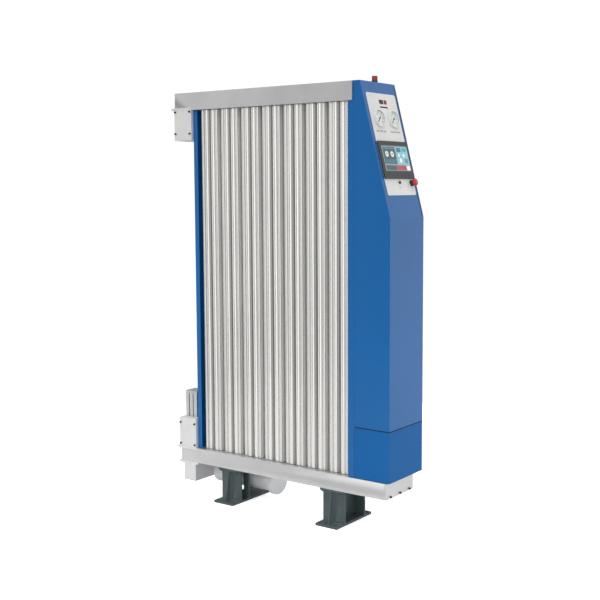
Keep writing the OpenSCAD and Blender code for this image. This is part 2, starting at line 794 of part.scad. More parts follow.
// End cap with a plain face: the air leaves backward through a ring of vents
// in the rim, fed by a groove behind the face
module silencer_cap()
    color("#C9CBCD")
        difference() {
            bar_x(silencer_cap_r, silencer_x1 - silencer_cap_t, silencer_x1, silencer_y, silencer_z);
            bar_x(silencer_r - silencer_wall, silencer_x1 - silencer_cap_t - overlap,
                silencer_x1 - silencer_face_t, silencer_y, silencer_z);
            bar_x(vent_ring_r + vent_r + 1, silencer_x1 - silencer_face_t - silencer_groove_t,
                silencer_x1 - silencer_face_t, silencer_y, silencer_z);
            for (k = [1 : vents])
                bar_x(vent_r, silencer_x1 - silencer_cap_t - overlap,
                    silencer_x1 - silencer_face_t - silencer_groove_t + overlap,
                    silencer_y + vent_ring_r * cos(360 * k / vents),
                    silencer_z + vent_ring_r * sin(360 * k / vents));
        }

// Socket screws of the two front covers and the end plate, and the round
// headed screws of the lower cabinet cover
module cover_screws()
    color("#8A8E92") {
        for (z = [outlet_screw_z, inlet_screw_z])
            cover_screw_places(z[0], z[1])
                translate([0, manifold_y0, 0]) rotate([90, 0, 0]) cap_screw(cover_screw_d, cover_screw_len);
        end_screw_places()
            translate([lower_x1 + end_plate_t, 0, 0])
                rotate([0, 90, 0]) cap_screw(cover_screw_d, cover_screw_len - 2);
        for (side = [0, 1], z = [cabinet_z0 + 40, cover_joint_z - 40])
            translate([cover_x0 + 12, side == 0 ? cabinet_y0 : cabinet_y1, z])
                rotate([side == 0 ? 90 : -90, 0, 0]) cylinder(r = cover_head_r, h = cover_head_h, $fn = 48);
    }

// ---------- feet ----------

module foot_bolt_places()
    for (fx = [foot_left_x, foot_right_x], sx = [-1, 1],
         y = [manifold_y0 + foot_bolt_inset, manifold_y1 - foot_bolt_inset])
        translate([fx + sx * foot_bolt_dx, y, 0]) children();

// Plates and flanges shared by both feet
module foot_plates(fx, rear_y) {
    box([fx - foot_w / 2, plate_y0, 0], [fx + foot_w / 2, plate_y0 + foot_l, foot_plate_t]);
    box([fx - foot_w / 2, manifold_y0 + 3, foot_h - foot_plate_t], [fx + foot_w / 2, manifold_y1, foot_h]);
    box([fx - foot_w / 2, front_flange_y, foot_plate_t - overlap],
        [fx + foot_w / 2, front_flange_y + flange_t, foot_h - foot_plate_t + overlap]);
    box([fx - foot_w / 2, rear_y, foot_plate_t - overlap],
        [fx + foot_w / 2, rear_y + flange_t, foot_h - foot_plate_t + overlap]);
    box([fx - web_t / 2, front_flange_y, foot_plate_t - overlap],
        [fx + web_t / 2, rear_y + flange_t, foot_h - foot_plate_t + overlap]);
    translate([fx - web_t / 2, 0, 0]) rotate([90, 0, 90])
        linear_extrude(web_t)
            polygon([
                [stiffener_low_y, foot_plate_t - overlap],
                [front_flange_y + overlap, foot_plate_t - overlap],
                [front_flange_y + overlap, foot_h - foot_plate_t + overlap],
                [stiffener_high_y, foot_h - foot_plate_t + overlap]]);
}

module foot_holes(fx) {
    for (sx = [-1, 1], sy = [-1, 1])
        bar_z(anchor_d / 2, fx + sx * anchor_dx / 2, plate_y0 + foot_l / 2 + sy * anchor_dy / 2,
            -overlap, foot_plate_t + overlap);
    for (sx = [-1, 1], y = [manifold_y0 + foot_bolt_inset, manifold_y1 - foot_bolt_inset])
        bar_z(foot_bolt_r + 0.5, fx + sx * foot_bolt_dx, y,
            foot_h - foot_plate_t - overlap, foot_h + overlap);
}

module foot_left()
    color("#3E484B")
        difference() {
            foot_plates(foot_left_x, left_flange_y);
            foot_holes(foot_left_x);
            for (sx = [-1, 1])
                translate([foot_left_x + sx * window_dx, left_flange_y - overlap, 0]) rotate([-90, 0, 0]) {
                    for (z = window_z)
                        translate([0, -z, 0]) cylinder(r = window_r, h = flange_t + 2 * overlap, $fn = 48);
                    translate([-window_r, -window_z[1], 0])
                        cube([2 * window_r, window_z[1] - window_z[0], flange_t + 2 * overlap]);
                }
        }

module foot_right()
    color("#3E484B")
        difference() {
            foot_plates(foot_right_x, right_flange_y);
            foot_holes(foot_right_x);
        }

module foot_bolts()
    color("#7E8387")
        foot_bolt_places()
            translate([0, 0, foot_h - foot_plate_t]) rotate([180, 0, 0]) {
                cylinder(r = foot_bolt_head_r, h = foot_bolt_head_h, $fn = 6);
                translate([0, 0, -foot_bolt_len])
                    cylinder(r = foot_bolt_r - eps, h = foot_bolt_len + eps, $fn = 32);
            }

// ---------- cabinet ----------

// Side outline of the cabinet between x0 and its front, grown or shrunk by inset
module cabinet_outline(x0, z0, inset) {
    shift = inset * tan(console_tilt / 2);
    polygon([
        [x0, z0 + inset],
        [cabinet_x1 - inset, z0 + inset],
        [cabinet_x1 - inset, knee_z - shift],
        [console_top_x - inset / cos(console_tilt) + inset * tan(console_tilt), cabinet_z1 - inset],
        [x0, cabinet_z1 - inset]]);
}

// Extrudes a side outline along Y
module along_y(y0, y1)
    translate([0, y1, 0]) rotate([90, 0, 0]) linear_extrude(y1 - y0) children();

// Fixed tray on the end of the bank that carries both covers
module cabinet_frame()
    color("#1B62A8")
        difference() {
            box([cabinet_x0, cabinet_y0, cabinet_z0], [frame_x1, cabinet_y1, cabinet_z1]);
            box([cabinet_x0 + sheet_t, cabinet_y0 + sheet_t, cabinet_z0 + sheet_t],
                [frame_x1 + overlap, cabinet_y1 - sheet_t, upper_z0 - 3 - sheet_t]);
            box([upper_x1 + 1 + sheet_t, cabinet_y0 + sheet_t, upper_z0 - 20],
                [frame_x1 + overlap, cabinet_y1 - sheet_t, cabinet_z1 - sheet_t]);
            box([cabinet_x0 - overlap, cabinet_y0 - overlap, upper_z0 - 3],
                [upper_x1 + 1, cabinet_y1 + overlap, cabinet_z1 + overlap]);
            for (k = [0, 1])
                bar_z(tube_r + 0.5, plate_face_x + 8, tube_y(k), cabinet_z0 - overlap, cabinet_z0 + 3);
            bar_z(gland_r, gland_x, gland_y, cabinet_z0 - overlap, cabinet_z0 + 3);
        }

// Fixed lower cover, screwed to the frame
module lower_cover()
    color("#1B62A8")
        difference() {
            box([cover_x0, cabinet_y0, cabinet_z0], [cabinet_x1, cabinet_y1, cover_joint_z - 1.5]);
            box([cover_x0 - overlap, cabinet_y0 + sheet_t, cabinet_z0 + sheet_t],
                [cabinet_x1 - sheet_t, cabinet_y1 - sheet_t, cover_joint_z]);
        }

// Middle knuckle of each hinge, with its leaf on the cover
module cover_knuckles()
    for (z = hinge_z)
        difference() {
            union() {
                bar_z(hinge_r, hinge_x, hinge_y,
                    z + hinge_len / 3 + hinge_gap, z + 2 * hinge_len / 3 - hinge_gap);
                box([hinge_x, cabinet_y1 - eps, z + hinge_len / 3 + hinge_gap],
                    [hinge_x + hinge_leaf, cabinet_y1 + hinge_leaf_t, z + 2 * hinge_len / 3 - hinge_gap]);
            }
            bar_z(hinge_pin_r + running_gap, hinge_x, hinge_y, z, z + hinge_len);
        }

// Hinged upper cover with the sloping console
module upper_cover()
    color("#1B62A8") {
        cover_knuckles();
        difference() {
            along_y(cabinet_y0, cabinet_y1) cabinet_outline(cover_x0, cover_joint_z, 0);
            along_y(cabinet_y0 + sheet_t, cabinet_y1 - sheet_t)
                cabinet_outline(cover_x0 - overlap, cover_joint_z, sheet_t);
            on_console(screen_u, screen_s, -3 * sheet_t)
                linear_extrude(6 * sheet_t)
                    square([screen_w - 2 * screen_rim, screen_h - 2 * screen_rim], center = true);
            for (u = gauge_u)
                on_console(u, gauge_s, -3 * sheet_t) cylinder(r = gauge_hole_r, h = 6 * sheet_t, $fn = 64);
            on_console(button_u, button_s, -3 * sheet_t)
                cylinder(r = button_r - 1, h = 6 * sheet_t, $fn = 48);
            on_console(estop_u, estop_s, -3 * sheet_t) cylinder(r = estop_hole_r, h = 6 * sheet_t, $fn = 48);
            bar_z(7.5, beacon_x, cabinet_mid_y, cabinet_z1 - 6, cabinet_z1 + overlap);
        }
    }

// Hinge barrels: the outer two knuckles are on the frame, and the pin stands
// in them, while the middle knuckle belongs to the cover
module cover_hinges()
    color("#7E8387")
        for (z = hinge_z) {
            for (k = [0, 2])
                difference() {
                    union() {
                        bar_z(hinge_r, hinge_x, hinge_y,
                            z + k * hinge_len / 3 + hinge_gap, z + (k + 1) * hinge_len / 3 - hinge_gap);
                        box([hinge_x - hinge_leaf, cabinet_y1, z + k * hinge_len / 3 + hinge_gap],
                            [hinge_x, cabinet_y1 + hinge_leaf_t, z + (k + 1) * hinge_len / 3 - hinge_gap]);
                    }
                    bar_z(hinge_pin_r, hinge_x, hinge_y, z, z + hinge_len);
                }
            bar_z(hinge_pin_r - eps, hinge_x, hinge_y, z, z + hinge_len);
        }

// Plate inside the cabinet that carries the electrical parts
module mounting_plate()
    color("#B8BCBF") {
        box([plate_face_x - mount_plate_t, cabinet_y0 + 24, mount_plate_z[0]],
            [plate_face_x, cabinet_y1 - 14, mount_plate_z[1]]);
        for (y = [cabinet_y0 + 40, cabinet_y1 - 40], z = [mount_plate_z[0] + 40, mount_plate_z[1] - 40])
            bar_x(standoff_r, cabinet_x0 + sheet_t, cabinet_x0 + sheet_t + standoff + eps, y, z);
    }

// Programmable controller, power supply and terminal blocks on two rails
module controller()
    color("#4B5054")
        let (rail_x = plate_face_x + rail_t, y0 = cabinet_y0 + 50) {
            for (z = rail_z)
                box([plate_face_x, y0 - 10, z], [rail_x, cabinet_y1 - 50, z + rail_h]);
            box([rail_x, y0, rail_z[1] - 30], [rail_x + 65, y0 + 100, rail_z[1] + 70]);
            box([rail_x, y0 + 108, rail_z[1] - 30], [rail_x + 85, y0 + 162, rail_z[1] + 90]);
            for (k = [0 : terminals - 1])
                box([rail_x, y0 + 6 + k * terminal_pitch, rail_z[0] - 10],
                    [rail_x + 40, y0 + 5 + (k + 1) * terminal_pitch, rail_z[0] + 45]);
        }

// Pilot solenoid valves on a common base
module pilot_valves()
    color("#2F3336")
        let (body_z = pilot_z + pilot_base_h, coil_z = pilot_z + pilot_base_h + pilot_body_h) {
            box([plate_face_x, cabinet_y1 - 150, pilot_z], [plate_face_x + 30, cabinet_y1 - 20, body_z]);
            for (k = [0 : pilots - 1])
                let (y = cabinet_y1 - 145 + k * pilot_pitch) {
                    box([plate_face_x + 2, y, body_z - eps], [plate_face_x + 28, y + 24, coil_z]);
                    box([plate_face_x + 4, y + 2, coil_z - eps],
                        [plate_face_x + 26, y + 22, coil_z + pilot_coil_h]);
                }
        }

// Gland for the supply cable, in the cabinet floor behind the manifold
module cable_gland()
    color("#26292B")
        difference() {
            union() {
                bar_z(gland_r - 0.05, gland_x, gland_y, cabinet_z0 - 4, cabinet_z0 + 10);
                translate([gland_x, gland_y, cabinet_z0 - 7]) cylinder(r = 11, h = 7 - eps, $fn = 6);
                translate([gland_x, gland_y, cabinet_z0 - 22])
                    rotate_extrude($fn = 64)
                        polygon([[0, 0], [6.5, 0], [9.5, 6], [9.5, 15 + eps], [0, 15 + eps]]);
                translate([gland_x, gland_y, cabinet_z0 + sheet_t + eps]) cylinder(r = 10, h = 5, $fn = 6);
            }
            bar_z(3.5, gland_x, gland_y, cabinet_z0 - 30, cabinet_z0 + 20);
        }

// Straight length of tube between two points, with a ball at its far end
module tube_link(a, b) {
    d = b - a;
    translate(a)
        rotate([0, acos(d[2] / norm(d)), atan2(d[1], d[0])])
            cylinder(r = tube_r, h = norm(d), $fn = 32);
}

function tube_y(k) = manifold_y1 + tube_r + 1 + k * 10;

module tube_run(points)
    for (i = [0 : len(points) - 2]) {
        tube_link(points[i], points[i + 1]);
        if (i > 0) translate(points[i]) sphere(r = tube_r, $fn = 32);
    }

// Air tubes from the pilot valves, out through the cabinet floor, along the
// back of the lower manifold and up to the two actuators
module pilot_tubes()
    color("#2C5FA0")
        for (k = [0, 1])
            let (
                y = tube_y(k),
                z = lower_z0 + 20 + k * 14,
                cap_z = inlet_z1 + actuator_h + actuator_cap_t / 2,
                x_in = plate_face_x + 8,
                x_out = k == 0 ? valve_ax : inlet_x1 - 7)
                tube_run(concat(
                    [[x_in, y, pilot_z], [x_in, y, z], [x_out, y, z], [x_out, y, cap_z]],
                    k == 0 ? [[x_out, valve_b_y + actuator_w / 2, cap_z]]
                        : [[x_out, valve_a_y, cap_z], [valve_ax + actuator_w / 2, valve_a_y, cap_z]]));

// ---------- console ----------

module control_panel()
    color("#DEDEDC") {
        difference() {
            on_console(0, panel_s, 0.02) rounded_plate(panel_w, panel_h, panel_t, 10);
            on_console(screen_u, screen_s, -overlap)
                linear_extrude(10)
                    square([screen_w - 2 * screen_rim, screen_h - 2 * screen_rim], center = true);
            for (u = gauge_u) on_console(u, gauge_s, -overlap) cylinder(r = gauge_hole_r, h = 10, $fn = 64);
            on_console(button_u, button_s, -overlap) cylinder(r = button_r - 1, h = 10, $fn = 48);
            on_console(estop_u, estop_s, -overlap) cylinder(r = estop_hole_r, h = 10, $fn = 48);
        }
    }

// Touch screen housing: bezel in front of the panel, body behind it
module screen_housing()
    color("#23272A")
        difference() {
            union() {
                on_console(screen_u, screen_s, panel_t + face_gap)
                    rounded_plate(screen_w, screen_h, screen_t, 6);
                on_console(screen_u, screen_s, -30)
                    rounded_plate(screen_w - 2 * screen_rim - 2, screen_h - 2 * screen_rim - 2, 34, 3);
            }
            on_console(glass_u, glass_s, panel_t + screen_t - glass_t - 0.6)
                rounded_plate(glass_w + 0.4, glass_h + 0.4, 10, 2);
        }

module screen_glass()
    color("#2E6F80")
        on_console(glass_u, glass_s, panel_t + screen_t - glass_t - 0.5)
            rounded_plate(glass_w, glass_h, glass_t, 1.8);

// Flanged pressure gauge cases with a recess for dial, pointer and lens
module gauge_cases()
    color("#C9CCCE")
        for (u = gauge_u)
            difference() {
                union() {
                    on_console(u, gauge_s, panel_t + face_gap) cylinder(r = gauge_r, h = gauge_h, $fn = 96);
                    on_console(u, gauge_s, -28) cylinder(r = gauge_body_r, h = 32, $fn = 96);
                }
                on_console(u, gauge_s, panel_t + 3) cylinder(r = gauge_dial_r, h = gauge_h, $fn = 96);
            }

module gauge_lenses()
    color("#E8F0F2", 0.35)
        for (u = gauge_u)
            on_console(u, gauge_s, panel_t + 8) cylinder(r = gauge_dial_r - 0.1, h = 1.5, $fn = 96);

// Pointer at its zero mark, low on the left of the dial
module gauge_pointer(u)
    color("#1B1D1F")
        on_console(u, gauge_s, panel_t + 4) {
            cylinder(r = 4, h = 2.4, $fn = 48);
            rotate(225) translate([0, 0, 0.6])
                linear_extrude(1) polygon([[-9, -1.8], [-9, 1.8], [30, 0.5], [30, -0.5]]);
        }

// Push button: cap in front of the panel and stem through it
module start_button()
    color("#2A2D30") {
        on_console(button_u, button_s, panel_t + 0.3 + button_travel) cylinder(r = button_r, h = 5, $fn = 64);
        on_console(button_u, button_s, -8) cylinder(r = button_r - 1.3, h = 14, $fn = 64);
    }

module estop_base()
    color("#2A2D30")
        difference() {
            union() {
                on_console(estop_u, estop_s, panel_t + face_gap)
                    cylinder(r = estop_collar_r, h = estop_collar_h, $fn = 64);
                on_console(estop_u, estop_s, -35) cylinder(r = estop_hole_r - 0.5, h = 40, $fn = 64);
            }
            on_console(estop_u, estop_s, -12) cylinder(r = estop_stem_r + running_gap, h = 40, $fn = 64);
        }

// Mushroom head on its stem
module estop_head()
    color("#C02A26")
        on_console(estop_u, estop_s, panel_t + estop_collar_h + 0.3 + estop_travel)
            rotate_extrude($fn = 96)
                polygon(concat(
                    [[0, -14], [estop_stem_r, -14], [estop_stem_r, 0], [estop_r - 3, 0]],
                    arc(estop_r - 3, 3, 3, 270, 360),
                    arc(estop_r - 7, estop_head_h - 9, 7, 0, 90),
                    [[0, estop_head_h - 1.2]]));

module beacon_base()
    color("#1F2123")
        difference() {
            union() {
                bar_z(beacon_r, beacon_x, cabinet_mid_y, cabinet_z1 + 0.02, cabinet_z1 + beacon_base_h);
                bar_z(7, beacon_x, cabinet_mid_y, cabinet_z1 - 20, cabinet_z1 + 1);
            }
            bar_z(beacon_r - 3, beacon_x, cabinet_mid_y, cabinet_z1 + 3, cabinet_z1 + 12);
        }

module beacon_lens()
    color("#B3312C")
        translate([beacon_x, cabinet_mid_y, cabinet_z1 + beacon_base_h])
            rotate_extrude($fn = 96)
                difference() {
                    polygon(concat([[0, 0], [beacon_r - 1, 0]],
                        arc(beacon_r - 5, beacon_lens_h - 4, 4, 0, 90), [[0, beacon_lens_h]]));
                    square([beacon_r - 3, beacon_lens_h - 3]);
                }

lower_manifold();
upper_manifold();
column(0);  // column_1
column(1);  // column_2
column(2);  // column_3
column(3);  // column_4
column(4);  // column_5
column(5);  // column_6
column(6);  // column_7
column_gaskets();
bed_strainers();
bed_springs();
desiccant_beds();
tie_rods();
tie_rod_nuts();
gallery_plugs();
end_plate();
end_strip();
adapter_plates();
outlet_block();
check_valve(valve_a_y, 0);  // check_valve_a
check_valve(valve_b_y, 0);  // check_valve_b
inlet_valve_block();
block_covers();
actuators();
actuator_caps();
inlet_valve(valve_a_y, valve_stroke);  // inlet_valve_a
inlet_valve(valve_b_y, 0);  // inlet_valve_b
exhaust_block();
exhaust_bottom_cover();
exhaust_valve(valve_a_y, 0);  // exhaust_valve_a
exhaust_valve(valve_b_y, exhaust_stroke);  // exhaust_valve_b
silencer_shell();
silencer_core();
silencer_cap();
cover_screws();
foot_left();
foot_right();
foot_bolts();
cabinet_frame();
lower_cover();
upper_cover();
cover_hinges();
mounting_plate();
controller();
pilot_valves();
pilot_tubes();
cable_gland();
control_panel();
screen_housing();
screen_glass();
gauge_cases();
gauge_lenses();
gauge_pointer(gauge_u[0]);  // gauge_pointer_inlet
gauge_pointer(gauge_u[1]);  // gauge_pointer_outlet
start_button();
estop_base();
estop_head();
beacon_base();
beacon_lens();
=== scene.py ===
"""Finished looks of a modular compressed-air dryer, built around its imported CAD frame.

Lengths in this file are millimetres and become metres when a mesh is finished.
The frame has +X at the control cabinet, +Y at the back and +Z up.
"""

import logging
import math
from dataclasses import dataclass, field
from enum import Enum
from typing import Any, Callable, Iterable, Mapping, Sequence

import bmesh
import bpy
from mathutils import Matrix, Vector


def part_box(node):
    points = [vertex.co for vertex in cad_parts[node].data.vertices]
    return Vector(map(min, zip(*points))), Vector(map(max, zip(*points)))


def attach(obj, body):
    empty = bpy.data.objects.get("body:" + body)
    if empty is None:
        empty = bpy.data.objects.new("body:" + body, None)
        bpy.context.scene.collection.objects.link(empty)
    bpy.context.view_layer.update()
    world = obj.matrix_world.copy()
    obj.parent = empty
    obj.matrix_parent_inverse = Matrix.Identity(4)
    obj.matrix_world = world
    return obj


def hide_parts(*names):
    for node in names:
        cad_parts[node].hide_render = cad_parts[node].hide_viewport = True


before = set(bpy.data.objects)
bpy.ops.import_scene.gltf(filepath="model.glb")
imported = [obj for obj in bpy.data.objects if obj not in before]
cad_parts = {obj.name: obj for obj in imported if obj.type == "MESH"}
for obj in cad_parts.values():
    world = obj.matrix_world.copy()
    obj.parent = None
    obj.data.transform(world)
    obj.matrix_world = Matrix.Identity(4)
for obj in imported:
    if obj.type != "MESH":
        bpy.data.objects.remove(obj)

LOG = logging.getLogger("dryer")
MM = 0.001
# Faces that meet at more than this many degrees show a sharp edge.
SHARP_ANGLE = 32.0
# Largest error in square millimetres of a face whose filling is still right.
TORN_AREA = 40.0
# How close two points are that count as one, in a CAD node and in a turned profile.
WELD_GAP, TURN_GAP = 1e-3, 1e-4
# Faces that meet at less than this many degrees are one flat area.
FLAT_ANGLE = 0.2
# Colour inputs and output of a node that mixes two colours.
MIX_FIRST, MIX_SECOND, MIX_RESULT = 6, 7, 2
# Largest turn in degrees between two points of an arc and of a round corner.
ARC_STEP, CORNER_STEP = 6.0, 15.0
# Facets of a rounding, and how many roundings wide a face must be to carry one.
EASE_STEPS, EASE_ROOM = 3, 2.2
# Z of a face's normal under which the face counts as upright.
UPRIGHT = 0.5
# Width of a printed stroke over the radius of its ends.
END_SHARE = 2.2
# Fine grain: octaves of noise, their falloff and the range that most of it covers.
GRAIN_DETAIL, GRAIN_FALLOFF, GRAIN_RANGE = 4.0, 0.6, (0.3, 0.7)
# Broad patches: octaves of noise and the range that is spread from 0 to 1.
PATCH_DETAIL, PATCH_RANGE = 3.0, (0.34, 0.66)
# Worn edges with a painted highlight: how far a normal turns from the edge's to the face's,
# and the range of grain over which the wear and the painted highlight break up.
EDGE_WEAR_HIGHLIGHT_TURN, EDGE_WEAR_HIGHLIGHT_BREAK, EDGE_WEAR_HIGHLIGHT_SAMPLES = (0.995, 0.86), (0.38, 0.62), 4
# Strokes of the digits: a on top, b to f clockwise, g across the middle.
STROKES = {"0": "abcdef", "1": "bc", "2": "abged", "4": "fgbc", "6": "afgedc", "8": "abcdefg"}
# Height of each stroke's middle, in halves of a digit's height.
LEVELS = {"a": 1.0, "b": 0.5, "f": 0.5, "g": 0.0, "c": -0.5, "e": -0.5, "d": -1.0}
Point = Sequence[float]


class Body(Enum):
    """The bodies of the frame that get pieces of their own."""

    FRAME = "frame"
    COVER = "cover"


class Slot(Enum):
    """The record's material slots that get pieces of their own."""

    MANIFOLD = "manifold_aluminium"
    COLUMN = "column_aluminium"
    MACHINED = "machined_aluminium"
    PLATE = "plate_aluminium"
    ZINC = "steel_zinc"
    STAINLESS = "stainless"
    BLUE = "blue_paint"
    FOOT = "foot_paint"
    SILENCER = "silencer_paint"
    FOIL = "panel_foil"
    BLACK = "black_plastic"
    GREY = "grey_plastic"
    SCREEN = "screen"
    GAUGE = "gauge_case"


# ---------- colour and nodes ----------


def linear(code: str) -> tuple[float, float, float, float]:
    """Turn an sRGB hex colour into linear RGBA.

    Args:
        code: The colour as "#RRGGBB".

    Returns:
        The linear colour with full alpha.
    """
    channels = [int(code[i:i + 2], 16) / 255 for i in (1, 3, 5)]
    turned = [c / 12.92 if c <= 0.04045 else ((c + 0.055) / 1.055) ** 2.4 for c in channels]
    return (*turned, 1.0)


def add_node(tree: bpy.types.NodeTree, kind: str, inputs: Mapping[Any, Any] | None = None,
             **settings: Any) -> bpy.types.Node:
    """Add a node with its settings, values and links.

    Args:
        tree: The node tree to add to.
        kind: The node's type name.
        inputs: Input name or number to a value, or to the socket that feeds it.
        **settings: Properties of the node itself.

    Returns:
        The new node.
    """
    node = tree.nodes.new(kind)
    for name, value in settings.items():
        setattr(node, name, value)
    for name, value in (inputs or {}).items():
        if isinstance(value, bpy.types.NodeSocket):
            tree.links.new(value, node.inputs[name])
        else:
            node.inputs[name].default_value = value
    return node


def blend(tree: bpy.types.NodeTree, share: Any, first: Any, second: Any) -> bpy.types.NodeSocket:
    """Mix two colours.

    Args:
        tree: The node tree.
        share: How much of the second colour shows, a number or a socket.
        first: The first colour, a value or a socket.
        second: The second colour, a value or a socket.

    Returns:
        The socket that carries the mixed colour.
    """
    mixed = add_node(tree, "ShaderNodeMix", {"Factor": share, MIX_FIRST: first, MIX_SECOND: second},
                     data_type="RGBA")
    return mixed.outputs[MIX_RESULT]


@dataclass(frozen=True)
class Finish:
    """A surface finish with fine grain, broad patches and worn edges with a painted highlight.

    Grain sizes are millimetres along X, Y and Z, so a drawn, brushed or sawn
    grain is one long size and two short ones.
    """

    name: str
    colour: str
    patch: str
    roughness: float
    spread: float = 0.05
    grain: tuple[float, float, float] = (3.0, 3.0, 3.0)
    relief: float = 0.02
    patch_size: float = 160.0
    metallic: float = 0.0
    # Colour of the edges: lighter for wear and for a painted highlight.
    edge: str = ""
    edge_wear_highlight_width: float = 2.5
    edge_wear_highlight_share: float = 0.5
    coat: float = 0.0
    coat_roughness: float = 0.1
    extra: Mapping[str, Any] = field(default_factory=dict)

    def grain_height(self, tree: bpy.types.NodeTree) -> bpy.types.NodeSocket:
        """Noise stretched to the finish's own grain."""
        place = add_node(tree, "ShaderNodeTexCoord").outputs["Object"]
        scale = tuple(1 / (size * MM) for size in self.grain)
        fitted = add_node(tree, "ShaderNodeMapping", {"Vector": place, "Scale": scale})
        noise = add_node(tree, "ShaderNodeTexNoise", {
            "Vector": fitted.outputs[0], "Scale": 1.0, "Detail": GRAIN_DETAIL,
            "Roughness": GRAIN_FALLOFF})
        return noise.outputs[0]

    def patches(self, tree: bpy.types.NodeTree) -> bpy.types.NodeSocket:
        """Broad cloudy patches from 0 to 1."""
        place = add_node(tree, "ShaderNodeTexCoord").outputs["Object"]
        noise = add_node(tree, "ShaderNodeTexNoise", {
            "Vector": place, "Scale": 1 / (self.patch_size * MM), "Detail": PATCH_DETAIL})
        spread = add_node(tree, "ShaderNodeMapRange", {
            "Value": noise.outputs[0], "From Min": PATCH_RANGE[0], "From Max": PATCH_RANGE[1]})
        return spread.outputs[0]

    def colours(self, tree: bpy.types.NodeTree, grain: bpy.types.NodeSocket) -> bpy.types.NodeSocket:
        """Main colour, its patches and the lighter edges, partly wear and partly painted highlight.

        Args:
            tree: The material's node tree.
            grain: The fine grain, which breaks up the edge wear and painted highlight.

        Returns:
            The socket that carries the colour.
        """
        share = self.patches(tree)
        mixed = blend(tree, share, linear(self.colour), linear(self.patch))
        if not self.edge:
            return mixed
        # Lighter edges: partly wear, partly a painted highlight, broken up by the grain.
        normal = add_node(tree, "ShaderNodeNewGeometry").outputs["Normal"]
        softened = add_node(tree, "ShaderNodeBevel", {"Radius": self.edge_wear_highlight_width * MM},
                            samples=EDGE_WEAR_HIGHLIGHT_SAMPLES)
        turned = add_node(tree, "ShaderNodeVectorMath", {0: normal, 1: softened.outputs[0]},
                          operation="DOT_PRODUCT")
        rim = add_node(tree, "ShaderNodeMapRange", {
            "Value": turned.outputs["Value"], "From Min": EDGE_WEAR_HIGHLIGHT_TURN[0], "From Max": EDGE_WEAR_HIGHLIGHT_TURN[1]})
        grain_break = add_node(tree, "ShaderNodeMapRange", {
            "Value": grain, "From Min": EDGE_WEAR_HIGHLIGHT_BREAK[0], "From Max": EDGE_WEAR_HIGHLIGHT_BREAK[1],
            "To Max": self.edge_wear_highlight_share})
        wear_and_highlight = add_node(tree, "ShaderNodeMath", {0: rim.outputs[0], 1: grain_break.outputs[0]},
                        operation="MULTIPLY")
        return blend(tree, wear_and_highlight.outputs[0], mixed, linear(self.edge))

    def surface(self, tree: bpy.types.NodeTree) -> bpy.types.Node:
        """Principled shader of the finish."""
        grain = self.grain_height(tree)
        rough = add_node(tree, "ShaderNodeMapRange", {
            "Value": grain, "From Min": GRAIN_RANGE[0], "From Max": GRAIN_RANGE[1],
            "To Min": self.roughness - self.spread, "To Max": self.roughness + self.spread})
        bump = add_node(tree, "ShaderNodeBump", {
            "Height": grain, "Strength": 1.0, "Distance": self.relief * MM})
        shader = add_node(tree, "ShaderNodeBsdfPrincipled", {
            "Base Color": self.colours(tree, grain), "Metallic": self.metallic,
            "Roughness": rough.outputs[0], "Normal": bump.outputs[0],
            "Coat Weight": self.coat, "Coat Roughness": self.coat_roughness})
        for name, value in self.extra.items():
            shader.inputs[name].default_value = value
        return shader

    def material(self) -> bpy.types.Material:
        """The finish's material, made the first time it is asked for."""
        found = bpy.data.materials.get(self.name)
        if found:
            return found
        made = bpy.data.materials.new(self.name)
        made.use_nodes = True
        made.node_tree.nodes.clear()
        shader = self.surface(made.node_tree)
        add_node(made.node_tree, "ShaderNodeOutputMaterial", {"Surface": shader.outputs[0]})
        return made


@dataclass(frozen=True)
class BeadFinish(Finish):
    """Packed round beads: each cell of the pattern is one bead."""

    bead: float = 4.0

    def grain_height(self, tree: bpy.types.NodeTree) -> bpy.types.NodeSocket:
        """Distance from the middle of the nearest bead."""
        place = add_node(tree, "ShaderNodeTexCoord").outputs["Object"]
        cells = add_node(tree, "ShaderNodeTexVoronoi", {
            "Vector": place, "Scale": 1 / (self.bead * MM)})
        height = add_node(tree, "ShaderNodeMath", {0: 1.0, 1: cells.outputs["Distance"]},
                          operation="SUBTRACT")
        return height.outputs[0]


@dataclass(frozen=True)
class GrooveShadedFinish(Finish):
    """A ribbed profile whose crests are bright and whose grooves are darkened with painted shade.

    The depth is counted from the profile's outermost plane towards its middle.
    """

    middle: float = 0.0
    half_depth: float = 90.0
    # Painted shade in the grooves: none down to the first depth, full from the second.
    bright_to: float = 1.5
    shade_from: float = 9.5
    groove_shade: str = "#92908D"

    def colours(self, tree: bpy.types.NodeTree, grain: bpy.types.NodeSocket) -> bpy.types.NodeSocket:
        """Blend from the crest's colour to the painted shade of the grooves."""
        crest = super().colours(tree, grain)
        place = add_node(tree, "ShaderNodeTexCoord").outputs["Object"]
        y = add_node(tree, "ShaderNodeSeparateXYZ", {0: place}).outputs[1]
        from_middle = add_node(tree, "ShaderNodeMath", {0: y, 1: self.middle * MM},
                               operation="SUBTRACT")
        out = add_node(tree, "ShaderNodeMath", {0: from_middle.outputs[0]}, operation="ABSOLUTE")
        share = add_node(tree, "ShaderNodeMapRange", {
            "Value": out.outputs[0], "From Min": (self.half_depth - self.bright_to) * MM,
            "From Max": (self.half_depth - self.shade_from) * MM})
        return blend(tree, share.outputs[0], crest, linear(self.groove_shade))


@dataclass(frozen=True)
class ClearFinish(Finish):
    """Clear glass that lets the light of the lamps through to what it covers."""

    def surface(self, tree: bpy.types.NodeTree) -> bpy.types.Node:
        """Glass for the eye, nothing for rays that look for a lamp."""
        glass = super().surface(tree)
        lamp = add_node(tree, "ShaderNodeLightPath").outputs["Is Shadow Ray"]
        clear = add_node(tree, "ShaderNodeBsdfTransparent")
        return add_node(tree, "ShaderNodeMixShader", {
            0: lamp, 1: glass.outputs[0], 2: clear.outputs[0]})


